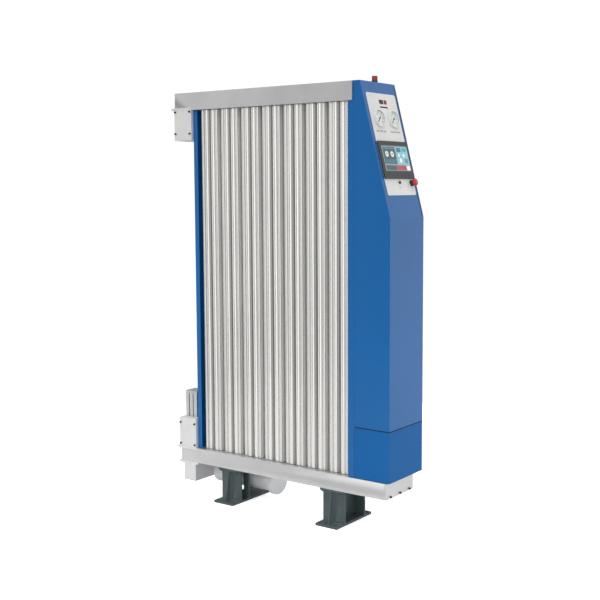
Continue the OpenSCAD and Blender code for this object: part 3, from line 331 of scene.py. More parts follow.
@dataclass(frozen=True)
class LitFinish(Finish):
    """Backlit area of a display, with its own glow."""

    glow: float = 0.4

    def surface(self, tree: bpy.types.NodeTree) -> bpy.types.Node:
        """Glossy cover over a glowing layer."""
        shader = super().surface(tree)
        source = shader.inputs["Base Color"].links[0].from_socket
        tree.links.new(source, shader.inputs["Emission Color"])
        shader.inputs["Emission Strength"].default_value = self.glow
        return shader


def ink(name: str, colour: str, patch: str, roughness: float = 0.58) -> Finish:
    """Finish of a screen-printed ink: flat, with ragged coverage."""
    return Finish(f"screen_printed_{name}_ink", colour, patch, roughness,
                  grain=(2.0, 2.0, 2.0), patch_size=6.0)


def lit(name: str, colour: str, patch: str, glow: float, patch_size: float = 24.0) -> LitFinish:
    """Finish of a display area that is lit from behind.

    The display's own dots are too fine to show; a 3 mm shimmer stands for them.

    Args:
        name: The colour's name.
        colour: Main colour.
        patch: Colour of its patches.
        glow: Strength of its own light.
        patch_size: Size of the patches.

    Returns:
        The finish.
    """
    return LitFinish(f"lit_display_{name}", colour, patch, roughness=0.16, spread=0.03,
                     relief=0.0, patch_size=patch_size, glow=glow)


# The lighter edge colours below are partly wear and partly a painted highlight.
# Extruded aluminium, natural anodised: pale satin with die lines that run up
# the column. Real die lines are under 0.3 mm apart and are drawn wider to show.
# Its grooves are darkened by depth with painted shade.
EXTRUDED = GrooveShadedFinish("anodised_aluminium_painted_groove_shade", "#EDECEA", "#E6E5E3",
                         roughness=0.26, spread=0.012, grain=(14.0, 14.0, 2400.0), relief=0.0008,
                         metallic=0.85, patch_size=420.0, middle=-18.5, half_depth=90.5)
# Side walls of the same extrusion, etched matt: they scatter the light that
# falls between two columns.
ETCHED = Finish("etched_extruded_aluminium", "#E3E2E0", "#DAD9D8",
                roughness=0.65, grain=(5.0, 5.0, 1400.0), metallic=0.1, patch_size=420.0)
# Aluminium bar, saw cut and belt ground along its length: pale, softly
# brushed, with eased edges that are worn and carry a painted highlight.
BAR = Finish("belt_ground_aluminium_bar", "#D9D9DA", "#D1D1D3",
             roughness=0.43, grain=(260.0, 3.0, 3.0), relief=0.012, metallic=0.85, edge="#F0F1F2",
             edge_wear_highlight_share=0.6)
# Milled aluminium block, bead blasted: matt, nearly white, without direction.
BLOCK = Finish("bead_blasted_aluminium_block", "#E4E4E5", "#DCDCDE",
               roughness=0.50, spread=0.06, grain=(5.0, 5.0, 5.0), metallic=0.35, edge="#F2F3F4")
# Rolled aluminium plate with its mill finish: greyer, streaked along X.
PLATE = Finish("mill_finish_aluminium_plate", "#E6E7E8", "#DDDEE0",
               roughness=0.50, spread=0.06, grain=(120.0, 4.0, 4.0), relief=0.015, metallic=0.5,
               edge="#ECEDEE")
# Drawn cylinder tube, clear anodised: silkier than the blocks.
CYLINDER = Finish("anodised_cylinder_tube", "#D6D8DA", "#CCCED1",
                  roughness=0.34, grain=(4.0, 4.0, 400.0), relief=0.04, metallic=0.9,
                  edge="#F0F1F2")
# Die-cast cylinder cover, blasted and anodised grey.
CAST = Finish("die_cast_aluminium_cover", "#C9CBCD", "#BEC1C4",
              roughness=0.48, spread=0.08, grain=(4.0, 4.0, 4.0), relief=0.10, metallic=0.7,
              edge="#D8DADC")
# Zinc-plated steel: bright, with a faint cool and warm bloom.
ZINC = Finish("zinc_plated_steel", "#B9BCBF", "#AEB0A8",
              roughness=0.32, spread=0.08, grain=(6.0, 6.0, 6.0), relief=0.03, metallic=1.0,
              patch_size=24.0, edge="#DADCDE")
# Black-oxide steel of the cap screws and foot bolts: oily dark grey.
OXIDE = Finish("black_oxide_steel", "#3C4043", "#34383B",
               roughness=0.42, spread=0.08, grain=(4.0, 4.0, 4.0), relief=0.03, metallic=0.8,
               patch_size=20.0, edge="#6C7175")
# Turned stainless steel: darker and clean, with fine turning marks.
STAINLESS = Finish("turned_stainless_steel", "#B4B6B8", "#A8AAAD",
                   roughness=0.24, spread=0.06, metallic=1.0, patch_size=60.0, edge="#E0E1E2")
# Turned brass: warm yellow that dulls in patches.
BRASS = Finish("turned_brass", "#C9A24B", "#B08A3C",
               roughness=0.30, spread=0.07, metallic=1.0, patch_size=40.0, edge="#E6C877")
# Die-cut nitrile rubber: dull black with a chalky bloom.
RUBBER = Finish("die_cut_nitrile_rubber", "#2A2B2C", "#343536",
                roughness=0.72, spread=0.08, grain=(4.0, 4.0, 4.0), relief=0.08, patch_size=70.0)
# Activated alumina beads, 2 to 5 mm: chalk white with shadowed gaps.
ALUMINA = BeadFinish("activated_alumina_beads", "#E8E4D8", "#DAD5C6",
                     roughness=0.88, grain=(4.0, 4.0, 4.0), relief=1.2, patch_size=30.0)
# Polyester powder coat on sheet steel: saturated blue, an even gloss with the
# shallow waves of orange peel, about 2 mm apart, drawn at 9 mm to show.
POWDER = Finish("blue_powder_coat", "#0060A5", "#005D9F",
                roughness=0.36, grain=(9.0, 9.0, 9.0), relief=0.06, patch_size=500.0,
                edge="#3E82C0", edge_wear_highlight_share=0.35, extra={"IOR": 1.45})
# The same blue in a matt powder on the lower cover: deeper, without a haze.
MATT_POWDER = Finish("matt_blue_powder_coat", "#0460A5", "#055D9F",
                     roughness=0.62, grain=(9.0, 9.0, 9.0), relief=0.06, patch_size=500.0,
                     edge="#3E82C0", edge_wear_highlight_share=0.35, extra={"IOR": 1.33})
# Two-part machine enamel over steel plate: dark green grey, rubbed and dusty.
ENAMEL = Finish("dark_machine_enamel", "#435052", "#4B585A",
                roughness=0.46, spread=0.09, grain=(7.0, 7.0, 7.0), relief=0.14, patch_size=90.0,
                edge="#6F7C7E", edge_wear_highlight_share=0.6)
# Silver lacquer on rolled sheet: pale and even, nearly white.
LACQUER = Finish("silver_lacquered_sheet", "#ECEDEE", "#E4E6E8",
                 roughness=0.45, spread=0.06, grain=(6.0, 6.0, 6.0), relief=0.05, metallic=0.3,
                 edge="#F0F1F2")
# Polyester overlay foil with a fine embossed texture: pale warm grey.
FOIL = Finish("embossed_polyester_foil", "#E6E6E5", "#DFDFDE",
              roughness=0.50, relief=0.03, patch_size=120.0, edge="#F2F2F2")
# Ink printed on the foil: flat grey with ragged coverage.
PRINT = ink("grey", "#A3A4A6", "#AFB0B2", 0.62)
# Darker ink for the scales and the emblem.
DARK_PRINT = ink("black", "#26282B", "#313337")
# Moulded ABS, spark-eroded texture: soft black with a low sheen.
BLACK_ABS = Finish("moulded_black_abs", "#23282B", "#2A2F32",
                   roughness=0.48, spread=0.06, relief=0.05, patch_size=60.0, edge="#4C5357")
# Moulded grey polyamide for the modules inside.
GREY_PA = Finish("moulded_grey_polyamide", "#8E9599", "#858C90",
                 roughness=0.55, spread=0.06, relief=0.05, patch_size=60.0, edge="#B4BABD")
# Moulded green polyamide of the terminal sockets.
GREEN_PA = Finish("moulded_green_polyamide", "#2F7A55", "#2A6E4D",
                  roughness=0.5, spread=0.06, relief=0.04, patch_size=30.0, edge="#5FA583")
# Polished front glass over a switched-off edge of a display.
DARK_GLASS = Finish("black_bordered_front_glass", "#10171B", "#141C20",
                    roughness=0.10, spread=0.03, grain=(30.0, 30.0, 30.0), relief=0.004,
                    patch_size=80.0, coat=0.4)
# Clear mineral glass with faint wiping marks.
CLEAR_GLASS = ClearFinish("clear_mineral_glass", "#F4F8F8", "#EEF4F4",
                          roughness=0.06, spread=0.03, grain=(18.0, 18.0, 18.0), relief=0.004,
                          patch_size=40.0, extra={"Transmission Weight": 1.0, "IOR": 1.15})
# Satin-chromed steel case of a gauge: pale, with a soft even sheen.
SATIN_CASE = Finish("satin_chromed_gauge_case", "#E6E6E6", "#DEDFE0",
                    roughness=0.36, metallic=0.4, patch_size=50.0, edge="#F6F6F6")
# Dark blue grey strip along the door's edge, dull: painted shadow of the seam there.
SLOPE_SHADE = Finish("painted_slope_seam_shadow", "#2F3B47", "#28343F",
              roughness=0.66, spread=0.06, grain=(4.0, 4.0, 60.0), relief=0.04, patch_size=60.0,
              edge="#66727C")
# Nearly black navy strip laid in the joint between the covers, dull: painted shadow of the joint.
JOINT_SHADE = Finish("painted_joint_shadow", "#14263C", "#182C44",
               roughness=0.75, grain=(4.0, 4.0, 4.0), relief=0.04, patch_size=60.0,
               extra={"IOR": 1.3})
# White enamel of the gauge dials.
DIAL = Finish("white_stove_enamel", "#F6F6F4", "#EFEFEC",
              roughness=0.40, relief=0.01, patch_size=50.0)
# Dark red ink of the emblem.
RED_PRINT = ink("red", "#8E2A33", "#9A343C")
# Red polyamide mushroom head: saturated, slightly waxy gloss.
RED_PA = Finish("moulded_red_polyamide", "#C8262E", "#BB2029",
                roughness=0.30, grain=(4.0, 4.0, 4.0), relief=0.03, patch_size=20.0, edge="#E05A5C",
                coat=0.3)
# Red polycarbonate beacon lens: light gets into it and glows at the ribs.
RED_PC = Finish("tinted_red_polycarbonate", "#A82A2C", "#962224",
                roughness=0.18, spread=0.04, grain=(4.0, 4.0, 4.0), patch_size=14.0, coat=0.5,
                extra={"Transmission Weight": 0.25, "Subsurface Weight": 0.2})
# Polyurethane air tube: bright blue and faintly translucent.
TUBE = Finish("extruded_polyurethane_tube", "#2C62A8", "#2859A0",
              roughness=0.38, grain=(30.0, 3.0, 3.0), relief=0.03, patch_size=60.0,
              extra={"Subsurface Weight": 0.05})
# Colours of the lit areas: cool greys and blues with one red, each dimly glowing.
LIT_NIGHT = lit("slate", "#37464F", "#3F4F55", 0.1, 30.0)
LIT_TEAL = lit("teal", "#3FA3B8", "#2B8AA6", 0.18)
LIT_DEEP = lit("deep_teal", "#1F6C80", "#1A5E72", 0.28)
LIT_SLATE = lit("blue_slate", "#5E86A0", "#54798F", 0.25)
LIT_AQUA = lit("aqua", "#8CCBD6", "#76BAC9", 0.08)
LIT_WHITE = lit("white", "#EEF4F5", "#E2ECEE", 0.12)
LIT_RED = lit("red", "#B23A44", "#9C2F3B", 0.2)
LIT_GREY = lit("grey", "#8FA5AA", "#869CA2", 0.02)


# ---------- mesh building ----------


def box_mm(node: str) -> tuple[Vector, Vector]:
    """Lowest and highest corner of a CAD node in millimetres."""
    low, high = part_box(node)
    return low / MM, high / MM


def arc(cx: float, cy: float, radius: float, start: float, end: float,
        step: float = ARC_STEP) -> list[Vector]:
    """Points of an arc.

    Args:
        cx: First coordinate of the centre.
        cy: Second coordinate of the centre.
        radius: Radius of the arc.
        start: First angle in degrees.
        end: Last angle in degrees.
        step: Largest angle between two points in degrees.

    Returns:
        The points from start to end, both included.
    """
    count = max(1, math.ceil(abs(end - start) / step))
    turns = [math.radians(start + (end - start) * k / count) for k in range(count + 1)]
    return [Vector((cx + radius * math.cos(a), cy + radius * math.sin(a))) for a in turns]


def rounded(width: float, height: float, radius: float) -> list[Vector]:
    """Outline of a rectangle with round corners.

    Args:
        width: Full width.
        height: Full height.
        radius: Corner radius.

    Returns:
        The outline's points, anticlockwise.
    """
    x, y = width / 2 - radius, height / 2 - radius
    corners = [(x, y, 0), (-x, y, 90), (-x, -y, 180), (x, -y, 270)]
    return [p for cx, cy, a in corners for p in arc(cx, cy, radius, a, a + 90, CORNER_STEP)]


def disc(radius: float, sides: int) -> list[Vector]:
    """Outline of a round disc."""
    return arc(0, 0, radius, 0, 360 - 360 / sides, 360 / sides)


def facing(place: Point, normal: Point, across: Point) -> Matrix:
    """Matrix of a flat work plane.

    Args:
        place: Where the plane's own origin lies.
        normal: Direction of its z axis.
        across: Direction of its x axis.

    Returns:
        The matrix from the plane to the frame.
    """
    z, x = Vector(normal).normalized(), Vector(across).normalized()
    turn = Matrix((x, z.cross(x), z)).transposed().to_4x4()
    return Matrix.Translation(Vector(place)) @ turn


@dataclass(frozen=True)
class Tabs:
    """A row of equal small blocks on a face that looks along +X.

    The place, the size and the step are measured across and up the face.
    """

    place: tuple[float, float]
    size: tuple[float, float]
    height: float
    edge: float
    count: int = 1
    step: tuple[float, float] = (0.0, 0.0)


@dataclass(frozen=True)
class Mark:
    """A printed bar: its middle across and up the slope, its size and its corners."""

    u: float
    s: float
    width: float
    height: float
    corner: float


class Shape:
    """A mesh under construction, in millimetres."""

    def __init__(self, *finishes: Finish) -> None:
        """Start an empty mesh with its finishes, the first one in use."""
        self.bm = bmesh.new()
        self.finishes = finishes
        self.current = 0

    def use(self, finish: Finish) -> "Shape":
        """Give the faces that follow this finish."""
        self.current = self.finishes.index(finish)
        return self

    def settle(self, verts: Iterable[bmesh.types.BMVert], at: Matrix) -> None:
        """Place new vertices and give their faces the current finish."""
        made = list(verts)
        bmesh.ops.transform(self.bm, matrix=at, verts=made)
        for face in {f for v in made for f in v.link_faces}:
            face.material_index = self.current

    def block(self, low: Point, high: Point, edge: float, segments: int = 2,
              at: Matrix = Matrix()) -> "Shape":
        """Add a box with rounded edges.

        Args:
            low: Lowest corner.
            high: Highest corner.
            edge: Width of the rounding.
            segments: Facets of the rounding.
            at: Matrix from the box's own plane to the frame.

        Returns:
            The shape itself.
        """
        size = Vector(high) - Vector(low)
        middle = (Vector(high) + Vector(low)) / 2
        verts = bmesh.ops.create_cube(self.bm, size=1.0)["verts"]
        bmesh.ops.scale(self.bm, vec=size, verts=verts)
        bmesh.ops.translate(self.bm, vec=middle, verts=verts)
        self.settle(verts, at)
        edges = list({e for v in verts for e in v.link_edges})
        bmesh.ops.bevel(self.bm, geom=edges, offset=edge, segments=segments, profile=0.5,
                        affect="EDGES", clamp_overlap=True, material=-1)
        return self

    def tabs(self, row: Tabs, x: float, y: float, z: float) -> "Shape":
        """Add a row of small blocks.

        Args:
            row: The row.
            x: Where the face lies.
            y: Where the face's own measures begin, across.
            z: Where they begin, upward.

        Returns:
            The shape itself.
        """
        for k in range(row.count):
            low = (x, y + row.place[0] + k * row.step[0], z + row.place[1] + k * row.step[1])
            high = (x + row.height, low[1] + row.size[0], low[2] + row.size[1])
            self.block(low, high, row.edge)
        return self

    def stud(self, place: Point, radius: float, height: float, steps: int = 16) -> "Shape":
        """Add a flat round head that looks along +X.

        Args:
            place: Middle of the head's foot.
            radius: Radius of the head.
            height: How far it stands out.
            steps: Facets around the head.

        Returns:
            The shape itself.
        """
        profile = [(0, 0), (radius, 0), (radius, height), (0, height)]
        return self.lathe(profile, facing(place, (1, 0, 0), (0, 1, 0)), steps)

    def prism(self, outline: Sequence[Vector], height: float, at: Matrix = Matrix(),
              holes: Sequence[Sequence[Vector]] = ()) -> "Shape":
        """Extrude a flat outline along its plane's z.

        Args:
            outline: The outer outline.
            height: How far it is extruded.
            at: Matrix from the outline's plane to the frame.
            holes: Outlines of through holes.

        Returns:
            The shape itself.
        """
        loops = [[self.bm.verts.new((p[0], p[1], 0.0)) for p in loop] for loop in (outline, *holes)]
        if holes:
            edges = [self.bm.edges.new((a, b)) for loop in loops
                     for a, b in zip(loop, loop[1:] + loop[:1])]
            filled = bmesh.ops.triangle_fill(self.bm, use_beauty=True, edges=edges)
            faces = [g for g in filled["geom"] if isinstance(g, bmesh.types.BMFace)]
        else:
            faces = [self.bm.faces.new(loops[0])]
        grown = bmesh.ops.extrude_face_region(self.bm, geom=faces, use_keep_orig=True)
        top = [g for g in grown["geom"] if isinstance(g, bmesh.types.BMVert)]
        bmesh.ops.translate(self.bm, vec=(0, 0, height), verts=top)
        self.settle([v for loop in loops for v in loop] + top, at)
        return self

    def lathe(self, profile: Sequence[Point], at: Matrix, steps: int) -> "Shape":
        """Turn a profile around its plane's z.

        Args:
            profile: Pairs of radius and height; a closed solid starts and ends on the axis.
            at: Matrix from the profile's plane to the frame.
            steps: Facets around the axis.

        Returns:
            The shape itself.
        """
        rings = []
        for k in range(steps):
            turn = math.radians(360 * k / steps)
            c, s = math.cos(turn), math.sin(turn)
            rings.append([self.bm.verts.new((r * c, r * s, z)) for r, z in profile])
        for ring, after in zip(rings, rings[1:] + rings[:1]):
            for k in range(len(profile) - 1):
                self.bm.faces.new((ring[k], after[k], after[k + 1], ring[k + 1]))
        verts = [v for ring in rings for v in ring]
        self.settle(verts, at)
        bmesh.ops.remove_doubles(self.bm, verts=verts, dist=TURN_GAP)
        return self

    def sweep(self, path: Sequence[Vector], radius: Callable[[int], float], sides: int) -> "Shape":
        """Add a closed tube along a path.

        Args:
            path: The centre line.
            radius: Radius at each point's number.
            sides: Facets around the tube.

        Returns:
            The shape itself.
        """
        ahead = [(b - a).normalized() for a, b in zip(path, path[1:])]
        ahead.append(ahead[-1])
        side = ahead[0].orthogonal().normalized()
        rings = []
        for k, (point, direction) in enumerate(zip(path, ahead)):
            side = (side - direction * side.dot(direction)).normalized()
            up = direction.cross(side)
            turns = [2 * math.pi * i / sides for i in range(sides)]
            rings.append([self.bm.verts.new(point + (side * math.cos(t) + up * math.sin(t)) * radius(k))
                          for t in turns])
        for ring, after in zip(rings, rings[1:]):
            for i in range(sides):
                j = (i + 1) % sides
                self.bm.faces.new((ring[i], ring[j], after[j], after[i]))
        self.bm.faces.new(rings[0][::-1])
        self.bm.faces.new(rings[-1])
        self.settle([v for ring in rings for v in ring], Matrix())
        return self

    def mark(self, finish: Finish, chosen: Callable[[bmesh.types.BMFace], bool]) -> "Shape":
        """Give some of the faces another finish.

        Args:
            finish: The finish they get.
            chosen: Says of a face whether it gets the finish.

        Returns:
            The shape itself.
        """
        if finish not in self.finishes:
            self.finishes += (finish,)
        number = self.finishes.index(finish)
        for face in self.bm.faces:
            face.normal_update()
            if chosen(face):
                face.material_index = number
        return self

    def is_sound(self) -> bool:
        """Whether every face fills into triangles of its own area."""
        filled = {face: 0.0 for face in self.bm.faces}
        for loops in self.bm.calc_loop_triangles():
            p, q, r = (loop.vert.co for loop in loops)
            filled[loops[0].face] += (q - p).cross(r - p).length / 2
        return all(abs(area - face.calc_area()) < TORN_AREA for face, area in filled.items())

    def piece(self, name: str, body: Body, slot: Slot, *replaced: str) -> bpy.types.Object:
        """Finish the mesh as a piece that rides on a body.

        Args:
            name: The piece's name.
            body: The body it rides on.
            slot: The record's slot; not used.
            *replaced: CAD nodes that it stands for.

        Returns:
            The new object.
        """
        bmesh.ops.recalc_face_normals(self.bm, faces=self.bm.faces)
        bmesh.ops.scale(self.bm, vec=(MM, MM, MM), verts=self.bm.verts)
        mesh = bpy.data.meshes.new(name)
        self.bm.to_mesh(mesh)
        self.bm.free()
        for finish in self.finishes:
            mesh.materials.append(finish.material())
        mesh.shade_smooth()
        mesh.set_sharp_from_angle(angle=math.radians(SHARP_ANGLE))
        made = bpy.data.objects.new(name, mesh)
        bpy.context.scene.collection.objects.link(made)
        weighted = made.modifiers.new("face_weighted_normals", "WEIGHTED_NORMAL")
        weighted.keep_sharp = True
        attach(made, body.value)
        if replaced:
            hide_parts(*replaced)
        LOG.info("piece %s on %s, %d faces", name, body.value, len(mesh.polygons))
        return made


def rounded_copy(node: str, finish: Finish, width: float, shortest: float, merge: bool) -> Shape:
    """Copy a CAD node and round its long outer edges.

    Args:
        node: The CAD node.
        finish: The copy's finish.
        width: Width of the rounding.
        shortest: Edges under this length stay sharp.
        merge: Whether flat areas become single faces first.

    Returns:
        The shape, ready to become a piece.
    """
    shape = Shape(finish)
    bm = shape.bm
    bm.from_mesh(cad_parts[node].data)
    for face in bm.faces:
        face.material_index = 0
    bmesh.ops.scale(bm, vec=(1 / MM, 1 / MM, 1 / MM), verts=bm.verts)
    bmesh.ops.remove_doubles(bm, verts=bm.verts, dist=WELD_GAP)
    if merge:
        bmesh.ops.dissolve_limit(bm, angle_limit=math.radians(FLAT_ANGLE), verts=bm.verts,
                                 edges=bm.edges)
    chosen = [
        e for e in bm.edges
        if e.is_manifold and e.is_convex and e.calc_length() > shortest
        and e.calc_face_angle(0.0) > math.radians(SHARP_ANGLE)
        and all(f.calc_area() / e.calc_length() > EASE_ROOM * width for f in e.link_faces)]
    if chosen:
        bmesh.ops.bevel(bm, geom=chosen, offset=width, segments=EASE_STEPS, profile=0.5,
                        affect="EDGES", clamp_overlap=True, material=-1)
    return shape


def eased(node: str, finish: Finish, width: float = 1.0, shortest: float = 12.0) -> Shape:
    """Copy a CAD node with rounded edges, checking that no face was torn open.

    Args:
        node: The CAD node.
        finish: The copy's finish.
        width: Width of the rounding.
        shortest: Edges under this length stay sharp.

    Returns:
        The shape, ready to become a piece.
    """
    shape = rounded_copy(node, finish, width, shortest, True)
    if not shape.is_sound():
        LOG.info("%s keeps its triangles", node)
        shape.bm.free()
        shape = rounded_copy(node, finish, width, shortest, False)
    return shape


def round_off(node: str, name: str, finish: Finish, slot: Slot, width: float = 1.0,
              shortest: float = 12.0, body: Body = Body.FRAME) -> None:
    """Make a piece that is a CAD node with rounded edges.

    Args:
        node: The CAD node, which the piece stands for.
        name: The piece's name.
        finish: The piece's finish.
        slot: The record's slot, handed on to the piece.
        width: Width of the rounding.
        shortest: Edges under this length stay sharp.
        body: The body it rides on.
    """
    eased(node, finish, width, shortest).piece(name, body, slot, node)


def dress(finish: Finish, *nodes: str) -> None:
    """Give CAD nodes whose shape stays their finish.

    Args:
        finish: The finish.
        *nodes: The CAD nodes.
    """
    for node in nodes:
        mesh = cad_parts[node].data
        mesh.materials.clear()
        mesh.materials.append(finish.material())
        LOG.info("dressed %s as %s", node, finish.name)


# ---------- sub-assemblies ----------


@dataclass
class ColumnBank:
    """Seven extruded columns with their beds, seals and tie rods."""

    count: int = 7
    lobe_x: float = 20.0
    lobe_r: float = 13.0
    valley_drop: float = 11.5
    dip_x: float = 34.0
    dip_drop: float = 5.0
    lip_r: float = 9.0
    lip_drop: float = 2.0
    chamber_r: float = 19.5
    chamber_x: float = 24.0
    wall: float = 6.0
    web: float = 4.0
    arc_step: float = 4.0
    side_share: float = 0.97
    shortest_step: float = 0.05

    def quarter(self, half_width: float) -> list[Vector]:
        """Front outline from the middle valley to the side wall.

        Args:
            half_width: Half the width of a column.

        Returns:
            Tangent arcs, with y measured from the crest of the lobes.
        """
        lip_cx = half_width - self.lip_r
        valley = 2 * math.degrees(math.atan(self.valley_drop / self.lobe_x))
        valley_r = self.lobe_x / math.sin(math.radians(valley)) - self.lobe_r
        dip = 2 * math.degrees(math.atan(self.dip_drop / (self.dip_x - self.lobe_x)))
        dip_r = (self.dip_x - self.lobe_x) / math.sin(math.radians(dip)) - self.lobe_r
        lip = 2 * math.degrees(math.atan((self.dip_drop - self.lip_drop) / (lip_cx - self.dip_x)))
        rise_r = (lip_cx - self.dip_x) / math.sin(math.radians(lip)) - self.lip_r
        step = self.arc_step
        parts = [
            arc(0, valley_r - self.valley_drop, valley_r, 270, 270 + valley, step),
            arc(self.lobe_x, -self.lobe_r, self.lobe_r, 90 + valley, 90 - dip, step),
            arc(self.dip_x, dip_r - self.dip_drop, dip_r, 270 - dip, 270, step),
            arc(self.dip_x, rise_r - self.dip_drop, rise_r, 270, 270 + lip, step),
            arc(lip_cx, -self.lip_drop - self.lip_r, self.lip_r, 90 + lip, 0, step)]
        points = [p for part in parts for p in part]
        return [p for k, p in enumerate(points)
                if k == 0 or (p - points[k - 1]).length > self.shortest_step]

    def outline(self, width: float, depth: float) -> list[Vector]:
        """Whole outline of a column around its own middle."""
        quarter = self.quarter(width / 2)
        half = [Vector((-p.x, p.y)) for p in quarter[:0:-1]] + quarter
        front = [Vector((p.x, -depth / 2 - p.y)) for p in half]
        back = [Vector((p.x, depth / 2 + p.y)) for p in reversed(half)]
        return front + back

    def chambers(self, depth: float) -> list[list[Vector]]:
        """Outlines of the four bead chambers."""
        radius = self.chamber_r
        near = radius + self.web
        far = depth / 2 - self.wall - radius
        shapes = []
        for sx in (-1, 1):
            for sy in (-1, 1):
                low, high = sorted((sy * near, sy * far))
                x = sx * self.chamber_x
                shapes.append(arc(x, high, radius, 0, 180) + arc(x, low, radius, 180, 360))
        return shapes

    def build(self) -> None:
        """Build the columns and dress what they hold."""
        for number in range(1, self.count + 1):
            node = f"column_{number}"
            low, high = box_mm(node)
            middle, size = (low + high) / 2, high - low
            column = Shape(EXTRUDED).prism(self.outline(size.x, size.y), size.z, Matrix.Translation(
                (middle.x, middle.y, low.z)), self.chambers(size.y))
            column.mark(ETCHED, lambda face: abs(face.normal.x) > self.side_share)
            column.piece(f"extruded_column_{number}", Body.FRAME, Slot.COLUMN, node)
        dress(RUBBER, "column_gaskets")
        dress(STAINLESS, "bed_strainers", "bed_springs")
        dress(ALUMINA, "desiccant_beds")
        dress(ZINC, "tie_rods", "tie_rod_nuts")


@dataclass
class ManifoldBars:
    """The two flow bars with their plugs, end plate and side strip."""

    edge: float = 1.6
    strip_edge: float = 1.6

    def build(self) -> None:
        """Ease the bars' edges and dress the plugs."""
        for node in ("lower_manifold", "upper_manifold"):
            round_off(node, f"{node}_bar", BAR, Slot.MANIFOLD, width=self.edge)
        round_off("end_plate", "gallery_end_plate", BAR, Slot.PLATE, width=self.edge)
        round_off("end_strip", "side_strip", POWDER, Slot.BLUE, width=self.strip_edge)
        round_off("gallery_plugs", "turned_gallery_plugs", STAINLESS, Slot.STAINLESS,
                  width=0.8, shortest=3.0)


@dataclass
class ValveEnd:
    """Valve blocks, switching cylinders, exhaust and silencer.

    Each point of the silencer's rolled rim says how far inward and how far
    along the shell it lies.
    """

    block_edge: float = 1.4
    plate_edge: float = 1.2
    paint_reach: float = 2.0
    slot_depth: float = 1.0
    shell_wall: float = 2.5
    shell_bore: float = 13.0
    rim: tuple[Point, ...] = ((3.0, 0.0), (1.0, 0.4), (0.0, 1.6))
    seam_w: float = 4.0
    seam_depth: float = 0.9
    seam_flank: float = 1.0
    first_seam: float = 14.0
    last_seam: float = 12.0
    shell_steps: int = 96

    def blocks(self) -> None:
        """Build the blocks, their covers and the adapter plates."""
        for node in ("outlet_block", "inlet_valve_block", "exhaust_block"):
            round_off(node, f"{node}_body", BLOCK, Slot.MACHINED, width=self.block_edge)
        round_off("block_covers", "bolted_block_covers", BLOCK, Slot.MACHINED, width=self.block_edge)
        for node in ("adapter_plates", "exhaust_bottom_cover"):
            round_off(node, f"{node}_eased", PLATE, Slot.PLATE, width=self.plate_edge)
        corner = box_mm("lower_cover")[0]
        screws = eased("cover_screws", OXIDE, width=0.5, shortest=2.5).mark(POWDER, lambda face: (
            face.calc_center_median().x > corner.x - self.paint_reach
            and face.calc_center_median().z > corner.z))
        screws.piece("socket_screws", Body.FRAME, Slot.ZINC, "cover_screws")

    def cylinders(self) -> None:
        """Build the two switching cylinders."""
        low, high = box_mm("actuators")
        half = (high.x - low.x) / 2

        def in_shaded_slot(face: bmesh.types.BMFace) -> bool:
            """Whether a face lies in one of the sensor slots, which get painted shade."""
            place = face.calc_center_median()
            along = min(abs(place.y - low.y - half), abs(place.y - high.y + half))
            reach = max(abs(place.x - low.x - half), along)
            return abs(face.normal.z) < UPRIGHT and reach < half - self.slot_depth

        # The slot faces get the black plastic finish: painted shade in the sensor slots.
        tubes = eased("actuators", CYLINDER, width=1.5, shortest=40.0).mark(BLACK_ABS, in_shaded_slot)
        tubes.piece("profile_cylinder_tubes", Body.FRAME, Slot.MACHINED, "actuators")
        round_off("actuator_caps", "cast_cylinder_caps", CAST, Slot.STAINLESS, width=1.2, shortest=5.0)

    def silencer(self) -> None:
        """Build the rolled silencer shell with its seams and its cap."""
        low, high = box_mm("silencer_shell")
        middle = (low + high) / 2
        radius = (high.y - low.y) / 2
        length = high.x - low.x
        at = facing((low.x, middle.y, middle.z), (1, 0, 0), (0, 1, 0))
        wall = self.shell_wall

        def seam(start: float) -> list[Point]:
            """Outline of a rolled seam that starts so far along the shell."""
            floor, end = radius - self.seam_depth, start + self.seam_w
            return [(radius, start), (floor, start + self.seam_flank),
                    (floor, end - self.seam_flank), (radius, end)]

        outer = [(radius - inward, along) for inward, along in self.rim]
        outer += seam(self.first_seam) + seam(length - self.last_seam - self.seam_w)
        outer += [(radius, length)]
        inner = [(radius - wall, length), (radius - wall, wall), (self.shell_bore, wall),
                 (self.shell_bore, 0.0), outer[0]]
        Shape(LACQUER).lathe(outer + inner, at, self.shell_steps).piece(
            "rolled_silencer_shell", Body.FRAME, Slot.SILENCER, "silencer_shell")
        round_off("silencer_cap", "spun_silencer_cap", LACQUER, Slot.SILENCER, width=2.0, shortest=3.0)
        dress(STAINLESS, "silencer_core")

    def build(self) -> None:
        """Build everything on the valve side."""
        self.blocks()
        self.cylinders()
        self.silencer()
        dress(BRASS, "check_valve_a", "check_valve_b")
        dress(STAINLESS, "inlet_valve_a", "inlet_valve_b", "exhaust_valve_a", "exhaust_valve_b")


